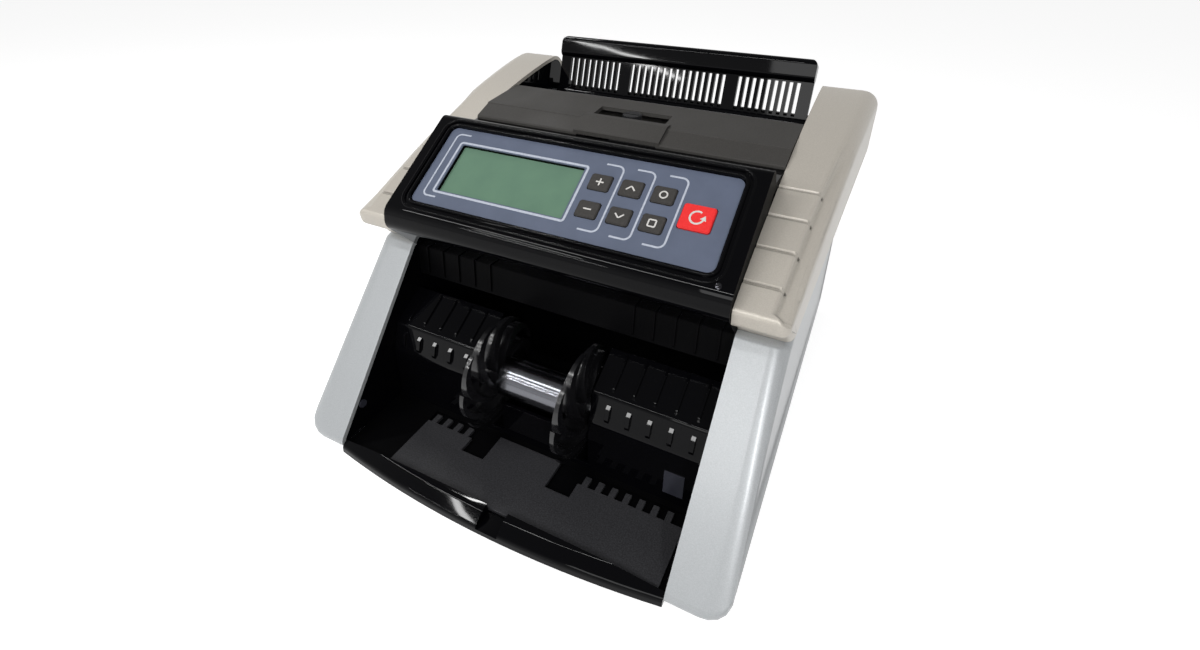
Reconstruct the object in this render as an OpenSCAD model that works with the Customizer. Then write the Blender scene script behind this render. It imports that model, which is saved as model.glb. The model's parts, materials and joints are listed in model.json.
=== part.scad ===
// Bench-top banknote counter: notes go into the hopper at the back, are kicked forward under the
// hopper cover, run down between two guides and are laid by finger wheels on the plate in front.

/* [Body] */
// Clear width of the note pocket between the side liners
pocket_w = 200; // [194:1:212]
// Depth from the front of the lip to the back of the side shells
body_d = 276; // [250:1:300]
// Height of the arm covers at their rear end, above the deck
arm_h = 169.5; // [158:0.5:176]
// Width of an arm cover at its nose, outside the pocket
arm_front_w = 25.5; // [24.5:0.5:29]
// Width of an arm cover at its rear end, outside the pocket
arm_rear_w = 35; // [30:0.5:38]
// Width of a side panel, outside the pocket
panel_side_w = 26; // [25:0.5:29]
// Wall of the moulded shells
shell_t = 2.5; // [2:0.1:2.8]
// Gap between a shell and what sits inside it
shell_gap = 0.3; // [0.2:0.05:0.5]
// Height of the rubber feet
foot_h = 3; // [2:0.5:6]
// Radius of a rubber foot
foot_r = 8; // [6:0.5:10]
// Thickness of the base below the deck
deck_t = 4; // [3.5:0.5:6]
// Number of grooves across an arm
groove_n = 4; // [2:1:5]
// Spacing of the grooves along an arm
groove_pitch = 21; // [18:0.5:23]
// Depth of the grooves across an arm
groove_d = 0.9; // [0.5:0.1:1.3]
// Thickness of a side liner
liner_t = 2; // [1.5:0.1:2.4]
// Thickness of a steel side frame
frame_t = 1.5; // [1:0.1:2]

/* [Stacker] */
// How far the middle of the front lip stands before the panels' sill
lip_bow = 6; // [3:0.5:10]
// How much the front of the lip is bowed over its width
lip_sag = 7.5; // [5:0.5:9]
// Height of the front lip above the deck
lip_h = 4.5; // [3:0.1:7]
// Distance of the lip's straight rear face behind the panels' sill
lip_rear = 5.5; // [4.5:0.1:8]
// Width of the thumb notch in the lip
thumb_w = 13; // [9:0.5:20]
// Sideways place of the thumb notch
thumb_x = 7.5; // [-15:0.5:15]
// Reach of the plate that the notes land on, to the left of the middle
plate_left = 68; // [60:1:80]
// Gap between that plate and the right liner
plate_side_gap = 4; // [2:0.5:20]
// Height of that plate's top above the deck
plate_h = 0.8; // [0.4:0.1:2]
// Spacing of the ribs on the pocket's back wall
rib_pitch = 11.6; // [9:0.1:12]
// Number of ribs on each side of the finger wheels
rib_n = 5; // [3:1:5]

/* [Control panel] */
// Slope of the panel from the level
panel_slope = 31.9; // [30:0.1:33]
// Width of the panel overlay
overlay_w = 176.4; // [170:0.2:180]
// Length of the panel overlay up its slope
overlay_l = 53; // [52:0.2:54]
// Thickness of the panel overlay
overlay_t = 0.5; // [0.3:0.1:0.8]
// Width of the display window
lcd_w = 79.5; // [70:0.5:84]
// Depth of the display window below the top of the overlay
lcd_sink = 2; // [1:0.1:2.2]
// Height of the display window
lcd_h = 31.5; // [26:0.5:34]
// Width of a key
key_w = 12; // [11:0.1:14]
// Height of a key
key_h = 9.8; // [9:0.1:12]
// Sideways spacing of the keys
key_pitch_x = 17.6; // [17:0.1:18]
// Spacing of the two rows of keys
key_pitch_y = 16.8; // [15.5:0.1:18]
// Width of the red key
red_w = 16.4; // [15:0.1:18]
// Height of the red key
red_h = 14.2; // [12:0.1:18]
// How far a key stands above the overlay
key_proud = 1; // [0.9:0.1:1.6]
// Travel of a key
key_travel = 0.8; // [0.4:0.1:0.8]
// Gap round a key
key_gap = 0.3; // [0.2:0.05:0.4]

/* [Hopper] */
// Width of the backrest
backrest_w = 189; // [180:1:192]
// Length of the backrest from its hinge
backrest_l = 42.4; // [40:0.2:44]
// Angle that the backrest leans back from the upright
backrest_lean = 19.4; // [14:0.2:22]
// Thickness of the backrest's top bar
bar_t = 8; // [6:0.5:9]
// Radius of the backrest's top corners
backrest_r = 5; // [3:0.5:8]
// Width of a slot in the backrest
slot_w = 2.4; // [1.8:0.1:3]
// Spacing of the slots
slot_pitch = 4.9; // [4.6:0.05:5]
// Radius of the backrest's hinge rod
rod_r = 2.5; // [2:0.1:3]
// Radius of the gap adjusting knob
knob_r = 6; // [5:0.1:6]

/* [Drive] */
// Radius of the four main shafts
shaft_r = 4; // [3:0.1:4.5]
// Radius of a finger wheel over its tips
impeller_r = 33; // [29:0.5:35]
// Number of fingers on a finger wheel
finger_n = 9; // [6:1:12]
// Width of a finger wheel
impeller_w = 12; // [8:0.5:13]
// Distance of a finger wheel from the middle
impeller_x = 28; // [26:0.5:30]
// Radius of the bright sleeve between the finger wheels
sleeve_r = 11.5; // [9:0.5:13]
// Radius of the feed rollers
feed_r = 24; // [22:0.2:25]
// Radius of the transport rollers
transport_r = 14; // [12:0.2:16]
// Radius of the pinch rollers above the transport rollers
pinch_r = 8; // [6:0.2:9]
// Radius of the kicker wheels
kicker_r = 21.5; // [20:0.1:23]
// Width of the rollers
roller_w = 12; // [9:0.5:14]
// Radius of the motor
motor_r = 18; // [15:0.5:20]
// Width of a drive belt
belt_w = 4; // [3:0.1:4.4]
// Thickness of a drive belt
belt_t = 1.2; // [0.8:0.1:1.6]
// Clearance of a shaft in its bush
run_gap = 0.05; // [0.02:0.01:0.09]
// Gap between a belt and its pulleys
belt_gap = 0.3; // [0.2:0.05:0.5]

/* [Hidden] */
$fn = 48;
half = pocket_w / 2;
front = -body_d / 2;
sill_y = front + lip_bow;
deck_z = foot_h + deck_t;
inner_w = pocket_w - 2 * shell_gap;

// A point given by its distance behind the panels' sill and its height above the deck. The distances are
// those of a machine that is 270 mm deep behind its sill; a deeper one stretches them.
back = 270;
stretch = (body_d - lip_bow) / back;
function at(y, z) = [sill_y + y * stretch, deck_z + z];
function behind(y) = at(y, 0).x;

// Shaft axes
imp = at(61.5, 37);
trn = at(118, 72);
feed = at(back - 92, 97);
kick = at(back - 42, 112);
mot = at(150, 48);
hinge = at(back - 17, 143);
knob_at = at(back - 86.5, 152.6);

// Radii of the pulleys, and the planes of the belts outside the pocket
motor_pulley_r = 7;
feed_motor_r = 16;
feed_kicker_r = 12;
kicker_pulley_r = 12;
feed_trn_r = 14;
trn_feed_r = 10;
trn_imp_r = 9;
imp_pulley_r = 12;
pulley_w = belt_w + 2;
plane_a = half + 6 + pulley_w / 2;
plane_b = plane_a + pulley_w;
bush_r = shaft_r + 2.5;
seat_gap = 0.02;
bush_end = half + 5.3;
shaft_end = plane_b + pulley_w / 2 + 1;

// Note path: the common tangent on top of the feed and transport rollers
function unit(v) = v / norm(v);
run = trn - feed;
run_dir = unit(run);
run_side = [run_dir.y, -run_dir.x];
lift = (feed_r - transport_r) / norm(run);
path_n = run_dir * lift + run_side * sqrt(1 - lift * lift);
path_e = [-path_n.y, path_n.x];
path_0 = feed + path_n * feed_r;
pinch_gap = 0.4;
pinch = trn + path_n * (transport_r + pinch_gap + pinch_r);
pinch_axle_r = 2;
roller_x = [25, 60];
function on_path(s, h) = path_0 + path_e * s + path_n * h;

// Outline tools: corners are [y, z, radius], and arcs get a fixed number of steps
arc_n = 6;
function fillet(a, c, b, r, n) =
    let (u = unit(a - c),
         v = unit(b - c),
         half_angle = acos(u * v) / 2,
         mid = c + unit(u + v) * (r / sin(half_angle)),
         p = c + u * (r / tan(half_angle)) - mid,
         q = c + v * (r / tan(half_angle)) - mid,
         start = atan2(p.y, p.x),
         turn = atan2(p.x * q.y - p.y * q.x, p * q))
    [for (i = [0:n]) mid + r * [cos(start + turn * i / n), sin(start + turn * i / n)]];
function yz(p) = [p[0], p[1]];
function rounded(pts, n = arc_n) =
    [for (i = [0:len(pts) - 1])
        let (c = pts[i], a = pts[(i + len(pts) - 1) % len(pts)], b = pts[(i + 1) % len(pts)])
        each (c[2] == 0 ? [yz(c)] : fillet(yz(a), yz(c), yz(b), c[2], n))];
function inward(pts, i) =
    let (t = unit(pts[(i + 1) % len(pts)] - pts[(i + len(pts) - 1) % len(pts)])) [-t.y, t.x];
function inset(pts, d) = [for (i = [0:len(pts) - 1]) pts[i] + inward(pts, i) * d];
function moved(pts) = [for (p = pts) at(p[0], p[1])];
function mix(a, b, s) = a + (b - a) * s;

// Arm cover: its outline, the edge of its flat outer face, and the bowed top with the grooves
part_front = [89.3, 94];
part_rear_z = 130;
part_open_y = back - 10;
function part_z(y) = mix(part_front[1], part_rear_z, (y - part_front[0]) / (back - part_front[0]));
arm_nose = [69.5, 117.2];
arm_tail = [back - 12, arm_h];
arm_sag = 7.5;
arm_round = 9;
nose_round = 5;
groove_first = 0.085;
groove_in = 0.5;
groove_out = 1.4;
edge_soft = 10;
open_soft = 2;
top_len = norm(arm_tail - arm_nose);
top_up = let (u = unit(arm_tail - arm_nose)) [-u.y, u.x];
function top_at(s) = mix(arm_nose, arm_tail, s) + top_up * (4 * arm_sag * s * (1 - s));
function groove_s(k) = groove_first + k * groove_pitch / top_len;
// Stations [share of the length, groove depth], from the tail to the nose
top_stations = concat(
    [for (s = [0.93:-0.07:0.55]) [s, 0]],
    [for (k = [groove_n - 1:-1:0])
        each [for (g = [[groove_out, 0], [groove_in, 1], [-groove_in, 1], [-groove_out, 0]])
            [groove_s(k) + g[0] / top_len, g[1] * groove_d]]],
    [[0.02, 0]]);
function top_inset(s) = mix(nose_round, arm_round, min(1, s / 0.12));
// The grooved pad stands a step above the shoulder of the arm, and the step fades out towards the tail
pad_end = 0.64;
pad_fade = 0.12;
function pad_share(s) = max(0, min(1, (pad_end - s) / pad_fade));

// Corners as [y, z, radius, y of the face, z of the face, radius of the face, softness, open edge, flare]
arm_corners = concat(
    [[part_front[0], part_front[1], 0, 92.6, 97.8, 0, open_soft, 1, 0],
     [part_open_y, part_z(part_open_y), 0, part_open_y - 0.2, part_z(part_open_y) + 3, 0, open_soft, 1, 0],
     [back, part_rear_z, 0, back - 9, part_rear_z + 3, 0, edge_soft, 0, 0],
     [back, arm_h + 0.6, 12, back - 9, arm_h - 8.6, 5, edge_soft, 0, 0]],
    [for (t = top_stations)
        let (p = top_at(t[0]), q = p - top_up * top_inset(t[0]))
        [p.x, p.y, 0, q.x, q.y, 0, edge_soft, 0, 0]],
    [[69.6, 117.2, 2.8, 74.4, 113, 0.6, 6, 0, 0],
     [71, 107.8, 3, 75, 111, 0.6, 5, 0, 0],
     [81, 105.3, 3, 84.5, 109, 2, 4, 0, 0],
     [88.3, 93.8, 0, 91.6, 97.6, 0, 4, 0, 0]]);
arm_depths = concat([0, 0, 0], [for (i = [0:arc_n]) 0], [for (t = top_stations) t[1]],
    [for (i = [0:3 * (arc_n + 1)]) 0]);
arm_pads = concat([0, 0, 0], [for (i = [0:arc_n]) 0], [for (t = top_stations) pad_share(t[0])],
    [for (i = [0:arc_n]) 1 - i / arc_n], [for (i = [0:2 * (arc_n + 1)]) 0]);

// Side panel: its sloping front, ledge and base
part_gap = 0.4;
ledge_end = 98;
front_top = [84.4, 93.4];
skirt_flare = 5;
panel_corners = [
    [-deck_t * front_top[0] / front_top[1], -deck_t, 5, 17, 9, 4, edge_soft, 0, skirt_flare],
    [back, -deck_t, 6, back - 9, 9, 3, edge_soft, 0, skirt_flare / 2],
    [back, part_rear_z - part_gap, 0, back - 9, part_rear_z - 4, 0, edge_soft, 0, 0],
    [part_open_y, part_z(part_open_y) - part_gap, 0,
     part_open_y - 0.2, part_z(part_open_y) - 4, 0, open_soft, 1, 0],
    [ledge_end, part_z(ledge_end) - part_gap, 0, ledge_end, part_z(ledge_end) - 4, 0, open_soft, 1, 0],
    [88.2, front_top[1], 0, 93.4, 90.2, 0, edge_soft, 0, 0],
    [front_top[0], front_top[1], 4.5, 90.6, 88.4, 3, edge_soft, 0, 0]];
panel_depths = [for (i = [0:3 * (arc_n + 1) + 3]) 0];

// The whole side outline, for the liner that fits inside both shells
side_corners = concat(
    [for (i = [0, 1]) panel_corners[i]],
    [for (i = [3:len(arm_corners) - 1]) arm_corners[i]],
    [panel_corners[6]]);

function outer_line(c) = rounded([for (p = c) [p[0], p[1], p[2]]]);
function face_line(c) = rounded([for (p = c) [p[3], p[4], p[2] == 0 ? 0 : p[5]]]);
function spread(c, k) = [for (p = c) each [for (i = [0:(p[2] == 0 ? 0 : arc_n)]) p[k]]];

// A shell lofted from rings: inner face, inner wall, rim, outer wall, rounded edge, outer face.
// The outer face lies in the plane x = x_front + x_slope * y.
soft_steps = [0, 0.15, 0.3, 0.45, 0.6, 0.75, 0.88, 1];
pad_down = [0, 0.03, 0.12, 0.34, 0.44, 0.52, 0.68, 1];
pad_out = [0, 0.1, 0.18, 0.22, 0.34, 0.7, 0.93, 1];
pad_foot = 3;
module side_shell(corners, depths, pads, x_front, x_slope) {
    outer = outer_line(corners);
    face = face_line(corners);
    wall = inset(outer, shell_t);
    soft = spread(corners, 6);
    open = spread(corners, 7);
    flare = spread(corners, 8);
    n = len(outer);
    function face_x(p) = x_front + x_slope * p.x;
    function point(x, p) = let (q = at(p.x, p.y)) [x, q.x, q.y];
    function rim_x(i, p) = open[i] == 1 ? face_x(p) - shell_t : half;
    function cut(i) = inward(outer, i) * depths[i];
    inner_face = [for (i = [0:n - 1]) point(face_x(face[i]) - shell_t, face[i])];
    inner_mid = [for (i = [0:n - 1]) let (p = mix(wall[i], face[i], open[i] == 1 ? 0.5 : 0.02))
        point(face_x(p) - (open[i] == 1 ? shell_t : soft[i]), p)];
    inner_rim = [for (i = [0:n - 1]) point(rim_x(i, wall[i]), wall[i])];
    outer_rim = [for (i = [0:n - 1]) let (p = outer[i] + cut(i)) point(rim_x(i, p), p)];
    edge = [for (k = [0:len(soft_steps) - 1])
        [for (i = [0:n - 1])
            let (t = soft_steps[k],
                 down = mix(1 - cos(90 * t), pad_down[k], pads[i]),
                 out = mix(sin(90 * t), pad_out[k], pads[i]),
                 groove = mix(1 - t * t, k > pad_foot ? 0 : 1, pads[i]),
                 p = mix(outer[i], face[i], down) + cut(i) * groove)
            point(face_x(p) - soft[i] * (1 - out) + flare[i] * sin(180 * t), p)]];
    loft(concat([inner_face, inner_mid, inner_rim, outer_rim], edge));
}
module loft(rings) {
    n = len(rings[0]);
    m = len(rings);
    sides = [for (k = [0:m - 2]) for (i = [0:n - 1])
        let (j = (i + 1) % n)
        each [[k * n + i, (k + 1) * n + j, k * n + j], [k * n + i, (k + 1) * n + i, (k + 1) * n + j]]];
    first = [for (i = [0:n - 1]) i];
    last = [for (i = [n - 1:-1:0]) (m - 1) * n + i];
    polyhedron([for (r = rings) each r], concat(sides, [first], [last]));
}

// Small builders
module slab_x(x0, x1, pts) {
    translate([x0, 0, 0]) rotate([90, 0, 90]) linear_extrude(x1 - x0) polygon(pts);
}
module rod_x(x0, x1, r, c) {
    translate([x0, c.x, c.y]) rotate([0, 90, 0]) cylinder(h = x1 - x0, r = r);
}
module ring_x(x0, x1, r, bore, c) {
    translate([x0, c.x, c.y]) rotate([0, 90, 0]) difference() {
        cylinder(h = x1 - x0, r = r);
        translate([0, 0, -1]) cylinder(h = x1 - x0 + 2, r = bore);
    }
}
module both_sides() {
    children();
    mirror([1, 0, 0]) children();
}
module round_rect(w, h, r) {
    square([w - 2 * r, h], center = true);
    square([w, h - 2 * r], center = true);
    for (x = [-1, 1], y = [-1, 1]) translate([x * (w / 2 - r), y * (h / 2 - r)]) circle(r);
}
module round_block(w, h, r, z0, z1) {
    translate([0, 0, z0]) linear_extrude(z1 - z0) round_rect(w, h, r);
}

// Casing
silver = [0.73, 0.72, 0.69];
black = [0.07, 0.07, 0.08];
dark_grey = [0.29, 0.28, 0.27];
steel = [0.66, 0.67, 0.69];
board_green = [0.1, 0.35, 0.2];
rubber = [0.12, 0.12, 0.12];
arm_slope = (arm_rear_w - arm_front_w) / (arm_tail[0] - arm_nose[0]);

module arm_cover() {
    x_front = half + arm_front_w - arm_slope * arm_nose[0];
    side_shell(arm_corners, arm_depths, arm_pads, x_front, arm_slope);
}
module side_panel() {
    side_shell(panel_corners, panel_depths, panel_depths, half + panel_side_w, 0);
}
module right_arm_cover() { color(silver) arm_cover(); }
module left_arm_cover() { color(silver) mirror([1, 0, 0]) arm_cover(); }
module right_side_panel() { color(silver) side_panel(); }
module left_side_panel() { color(silver) mirror([1, 0, 0]) side_panel(); }

// The liners stand on the deck and carry the pinch axle and the note sensors
bush_hole = bush_r + 0.3;
sensor_at = at(22, 16);
sensor_r = 2.5;
motor_hole = 4;
ledge_slot = 5;
module liner() {
    pts = moved(inset(outer_line(side_corners), shell_t + shell_gap));
    ledge = at(front_top[0], front_top[1] - shell_t - shell_gap);
    translate([half, 0, 0]) rotate([90, 0, 90]) difference() {
        intersection() {
            linear_extrude(liner_t) polygon(pts);
            translate([-body_d, deck_z, -1]) cube([2 * body_d, 2 * arm_h, liner_t + 2]);
        }
        for (c = [imp, trn, feed, kick])
            translate([c.x, c.y, -1]) cylinder(h = liner_t + 2, r = bush_hole);
        translate([pinch.x, pinch.y, -1]) cylinder(h = liner_t + 2, r = pinch_axle_r + run_gap);
        translate([sensor_at.x, sensor_at.y, -1]) cylinder(h = liner_t + 2, r = sensor_r + run_gap);
        translate([mot.x, mot.y, -1]) cylinder(h = liner_t + 2, r = motor_hole);
        translate([ledge.x, ledge.y, -1]) cube([ledge_slot, shell_t + 2 * shell_gap, liner_t + 2]);
    }
}
module right_liner() { color(black) liner(); }
module left_liner() { color(black) mirror([1, 0, 0]) liner(); }

// Steel side frames that carry the bushes, with lightening holes
frame_pts = moved(rounded([
    [14, 0, 6], [back - 14, 0, 6], [back - 8, 20, 8], [back - 8, 146, 10], [back - 60, 146, 10],
    [128, 124, 14], [100, 100, 8], [96, 88, 8]]));
light_holes = [[190, 40, 22], [238, 56, 18]];
module side_frame() {
    translate([half + liner_t, 0, 0]) rotate([90, 0, 90]) difference() {
        linear_extrude(frame_t) polygon(frame_pts);
        for (c = [imp, trn, feed, kick])
            translate([c.x, c.y, -1]) cylinder(h = frame_t + 2, r = bush_r + seat_gap);
        translate([mot.x, mot.y, -1]) cylinder(h = frame_t + 2, r = motor_hole);
        translate([pinch.x, pinch.y, -1]) cylinder(h = frame_t + 2, r = pinch_axle_r + 1);
        for (h = light_holes) {
            p = at(h[0], h[1]);
            translate([p.x, p.y, -1]) cylinder(h = frame_t + 2, r = h[2]);
        }
    }
}
module right_side_frame() { color(steel) side_frame(); }
module left_side_frame() { color(steel) mirror([1, 0, 0]) side_frame(); }

// The front of the lip is bowed, struck from a centre far behind, and its rear face is straight
bow_r = (half * half + lip_sag * lip_sag) / (2 * lip_sag);
lip_crest = 8;
lip_reach = 24;
lip_profile = rounded([
    [0, -deck_t, 0], [lip_reach, -deck_t, 0], [lip_reach, lip_h, 0], [lip_crest, lip_h, 5], [0.6, 0, 3]]);
thumb_floor = 1.5;
module front_lip() {
    color(black) difference() {
        intersection() {
            translate([0, front + bow_r, deck_z]) rotate_extrude($fn = 360)
                polygon([for (p = lip_profile) [bow_r - p[0], p[1]]]);
            translate([-inner_w / 2, front - 1, 0])
                cube([inner_w, behind(lip_rear) - front + 1, deck_z + lip_h + 1]);
        }
        translate([thumb_x - thumb_w / 2, front - 1, deck_z - thumb_floor])
            cube([thumb_w, lip_reach, lip_h + 5]);
    }
}

// The plate lies in a shallow recess of the tray
plate_t = 2.2;
plate_front = lip_rear + 0.6;
plate_rear = 39;
tongue_rear = 47;
notch_front = 29.5;
plate_right = half - plate_side_gap;
slot_half = impeller_w / 2 + 1.5;
comb_pitch = 8;
comb_tooth = [3.6, 6];
wing_w = 2 * (half + liner_t + frame_t + 4);
module base_tray() {
    wing_t = deck_t - shell_t - shell_gap;
    edge = behind(lip_rear);
    rear = behind(rear_in) + rear_t;
    color(black) difference() {
        union() {
            translate([-inner_w / 2, edge, foot_h]) cube([inner_w, rear - edge, deck_t]);
            translate([-wing_w / 2, behind(20), deck_z - wing_t])
                cube([wing_w, behind(back - 10) - behind(20), wing_t]);
        }
        translate([-plate_left - shell_gap, edge - 1, deck_z + plate_h - plate_t]) cube([
            plate_left + plate_right + 2 * shell_gap, behind(tongue_rear) - edge + 1 + shell_gap, plate_t]);
    }
}
foot_x = half - 16;
foot_y = [behind(34), behind(back - 26)];
module rubber_feet() {
    color([0.1, 0.1, 0.1]) for (x = [-foot_x, foot_x], y = foot_y) translate([x, y, 0]) {
        cylinder(h = 1, r1 = foot_r - 1, r2 = foot_r);
        translate([0, 0, 1]) cylinder(h = foot_h - 1, r = foot_r);
    }
}

// Plate with notches for the finger wheels and a comb along its rear edge
module plate_block(x0, x1, y0, y1) {
    translate([x0, y0, deck_z + plate_h - plate_t]) cube([x1 - x0, y1 - y0, plate_t]);
}
module stacker_plate() {
    inner = impeller_x - slot_half;
    outer = impeller_x + slot_half;
    rear = behind(plate_rear);
    combs = [[-plate_left, -outer], [outer, plate_right]];
    color([0.13, 0.13, 0.13]) {
        plate_block(-plate_left, plate_right, behind(plate_front), behind(notch_front));
        plate_block(-inner, inner, behind(notch_front) - 1, behind(tongue_rear));
        for (c = combs) {
            plate_block(c[0], c[1], behind(notch_front) - 1, rear);
            for (x = [c[0] + comb_pitch / 2:comb_pitch:c[1] - comb_pitch / 2])
                plate_block(x - comb_tooth[0] / 2, x + comb_tooth[0] / 2, rear - 1, rear + comb_tooth[1]);
        }
    }
}

// Back wall of the pocket: an upright foot, a crease, a sloping ribbed band and an apron under the guides
wall_t = 2;
wall_foot = 50.5;
crease = [52.5, 33.5];
band_top = [59, 50.5];
apron_end = [82, 63];
wheel_slot_z = 3.4;
rib_first = 45.8;
rib_w = 2.4;
thin_rib_w = 1.2;
function rib_x(i) = rib_first + i * rib_pitch;
rib_sink = 0.4;
// A low rib that follows the line from a to b and stands out from it to the left of its direction
function low_rib(a, b, h) =
    let (e = unit(b - a), out = [-e.y, e.x])
    [a - out * rib_sink, b - out * rib_sink, b + out * 0.2,
     b - e * 2 + out * h, a + e * 2 + out * h, a + out * 0.2];
module stacker_backwall() {
    band = unit(band_top - crease);
    rib_mid = mix(crease, band_top, 0.5);
    profile = rounded([
        [wall_foot, 0, 0], [wall_foot + wall_t, 0, 0], [crease[0] + wall_t + 0.2, crease[1] - 0.4, 0],
        [band_top[0] + 1.8, band_top[1] - 1.5, 0], [apron_end[0] + 1.1, apron_end[1] - 1.9, 0.9],
        [apron_end[0], apron_end[1], 0.9], [band_top[0], band_top[1], 3], [crease[0], crease[1], 0]]);
    opening = impeller_x + slot_half;
    color(black) {
        difference() {
            slab_x(-inner_w / 2, inner_w / 2, moved(profile));
            translate([-opening, sill_y, imp.y - sleeve_r - 2]) cube([2 * opening, body_d / 2, arm_h]);
            for (x = [-impeller_x, impeller_x])
                translate([x - slot_half, sill_y, deck_z + wheel_slot_z])
                    cube([2 * slot_half, body_d / 2, arm_h]);
        }
        both_sides() for (i = [0:rib_n - 1]) {
            slab_x(rib_x(i) - rib_w / 2, rib_x(i) + rib_w / 2,
                moved(low_rib(rib_mid - band * 5, rib_mid + band * 5, 1.7)));
            slab_x(rib_x(i) - thin_rib_w / 2, rib_x(i) + thin_rib_w / 2,
                moved(low_rib(mix(band_top, apron_end, 0.12), mix(band_top, apron_end, 0.95), 1)));
        }
    }
}

// Control pod: a moulded shell whose face carries the overlay in a shallow recess
panel_at = [78, 127];
panel_e = [cos(panel_slope), sin(panel_slope)];
panel_n = [-sin(panel_slope), cos(panel_slope)];
rim_h = 2;
face_t = 2.5;
board_depth = 5;
board_t = 1.6;
pod_rim = 9.5;
shelf_end = 158;
function panel_pt(u, h) = let (p = panel_e * u + panel_n * h) panel_at + [p.x / stretch, p.y];
function corner(p, r) = [p.x, p.y, r];
pod_outside = [
    [86.2, 91.6, 0], [66.8, 113.5, 8], corner(panel_pt(-pod_rim, rim_h), 8),
    corner(panel_pt(overlay_l + pod_rim, rim_h), 5), [137, 150, 2], [shelf_end, 149.2, 0]];
pod_inside = [
    [shelf_end, 146.8, 0], [134.4, 147.4, 2], corner(panel_pt(overlay_l + 4.5, -face_t), 2),
    corner(panel_pt(-4, -face_t), 2), [70.8, 114.6, 4], [88, 94, 0]];
module on_panel() {
    p = at(panel_at.x, panel_at.y);
    translate([0, p.x, p.y]) rotate([panel_slope, 0, 0]) children();
}
module on_panel_middle() {
    on_panel() translate([0, overlay_l / 2, 0]) children();
}
lcd_at = [-35.25, 26.25];
key_first = [16.6, 18.4];
red_at = [71.75, 26.5];
key_r = 1.6;
function key_at(i) = key_first + [(i % 3) * key_pitch_x, (i < 3 ? 1 : 0) * key_pitch_y];
module panel_holes(z0, z1) {
    translate(lcd_at) round_block(lcd_w + 2 * key_gap, lcd_h + 2 * key_gap, 1, z0, z1);
    for (i = [0:5]) translate(key_at(i)) round_block(key_w + 2 * key_gap, key_h + 2 * key_gap, key_r, z0, z1);
    translate(red_at) round_block(red_w + 2 * key_gap, red_h + 2 * key_gap, key_r, z0, z1);
}
board_w = 168;
board_l = 49;
boss_r = 3;
boss_at = [80, 22.5];
module control_pod() {
    cheek = concat(pod_outside, [[shelf_end, 146.8, 0], [134.4, 145, 0], [88.1, 98.6, 0], [88, 94, 0]]);
    color(black) {
        difference() {
            union() {
                slab_x(-inner_w / 2, inner_w / 2, moved(rounded(concat(pod_outside, pod_inside))));
                both_sides() slab_x(inner_w / 2 - face_t, inner_w / 2, moved(rounded(cheek)));
            }
            on_panel_middle() {
                round_block(overlay_w + 2 * shell_gap, overlay_l + 2 * shell_gap, 4.3, 0, rim_h + 5);
                difference() {
                    round_block(overlay_w + 7.6, overlay_l + 7.6, 7.8, rim_h - 0.8, rim_h + 1);
                    round_block(overlay_w + 4.6, overlay_l + 4.6, 6.3, rim_h - 1, rim_h + 2);
                }
            }
            on_panel() panel_holes(-face_t - 1, 1);
        }
        on_panel_middle() for (x = [-boss_at.x, boss_at.x], y = [-boss_at.y, boss_at.y])
            translate([x, y, -board_depth]) cylinder(h = board_depth - face_t + 0.3, r = boss_r);
    }
}
module panel_overlay() {
    color([0.38, 0.41, 0.49]) difference() {
        on_panel_middle() round_block(overlay_w, overlay_l, 4, 0, overlay_t);
        on_panel() panel_holes(-1, 2);
    }
}
module lcd_window() {
    color([0.4, 0.53, 0.45]) on_panel() translate(lcd_at)
        round_block(lcd_w, lcd_h, 0.8, -face_t, overlay_t - lcd_sink);
}
module lcd_module() {
    color([0.5, 0.52, 0.5]) on_panel() translate(lcd_at)
        round_block(lcd_w + 5, lcd_h + 4, 1, -board_depth, -face_t);
}
module panel_board() {
    color(board_green) on_panel_middle()
        round_block(board_w, board_l, 2, -board_depth - board_t, -board_depth);
}
key_lip = 1.1;
module key_cap(place, w, h) {
    top = overlay_t + key_proud;
    on_panel() translate(place) {
        round_block(w, h, key_r, -face_t, top - 0.4);
        round_block(w - 0.8, h - 0.8, key_r - 0.4, top - 0.4, top);
        round_block(w + 2 * key_lip, h + 2 * key_lip, key_r, key_travel + key_gap - board_depth, -face_t);
    }
}
module small_key(i) { color([0.25, 0.24, 0.23]) key_cap(key_at(i), key_w, key_h); }
module key_1() { small_key(0); }
module key_2() { small_key(1); }
module key_3() { small_key(2); }
module key_4() { small_key(3); }
module key_5() { small_key(4); }
module key_6() { small_key(5); }
module restart_key() { color([0.91, 0.19, 0.18]) key_cap(red_at, red_w, red_h); }

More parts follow.
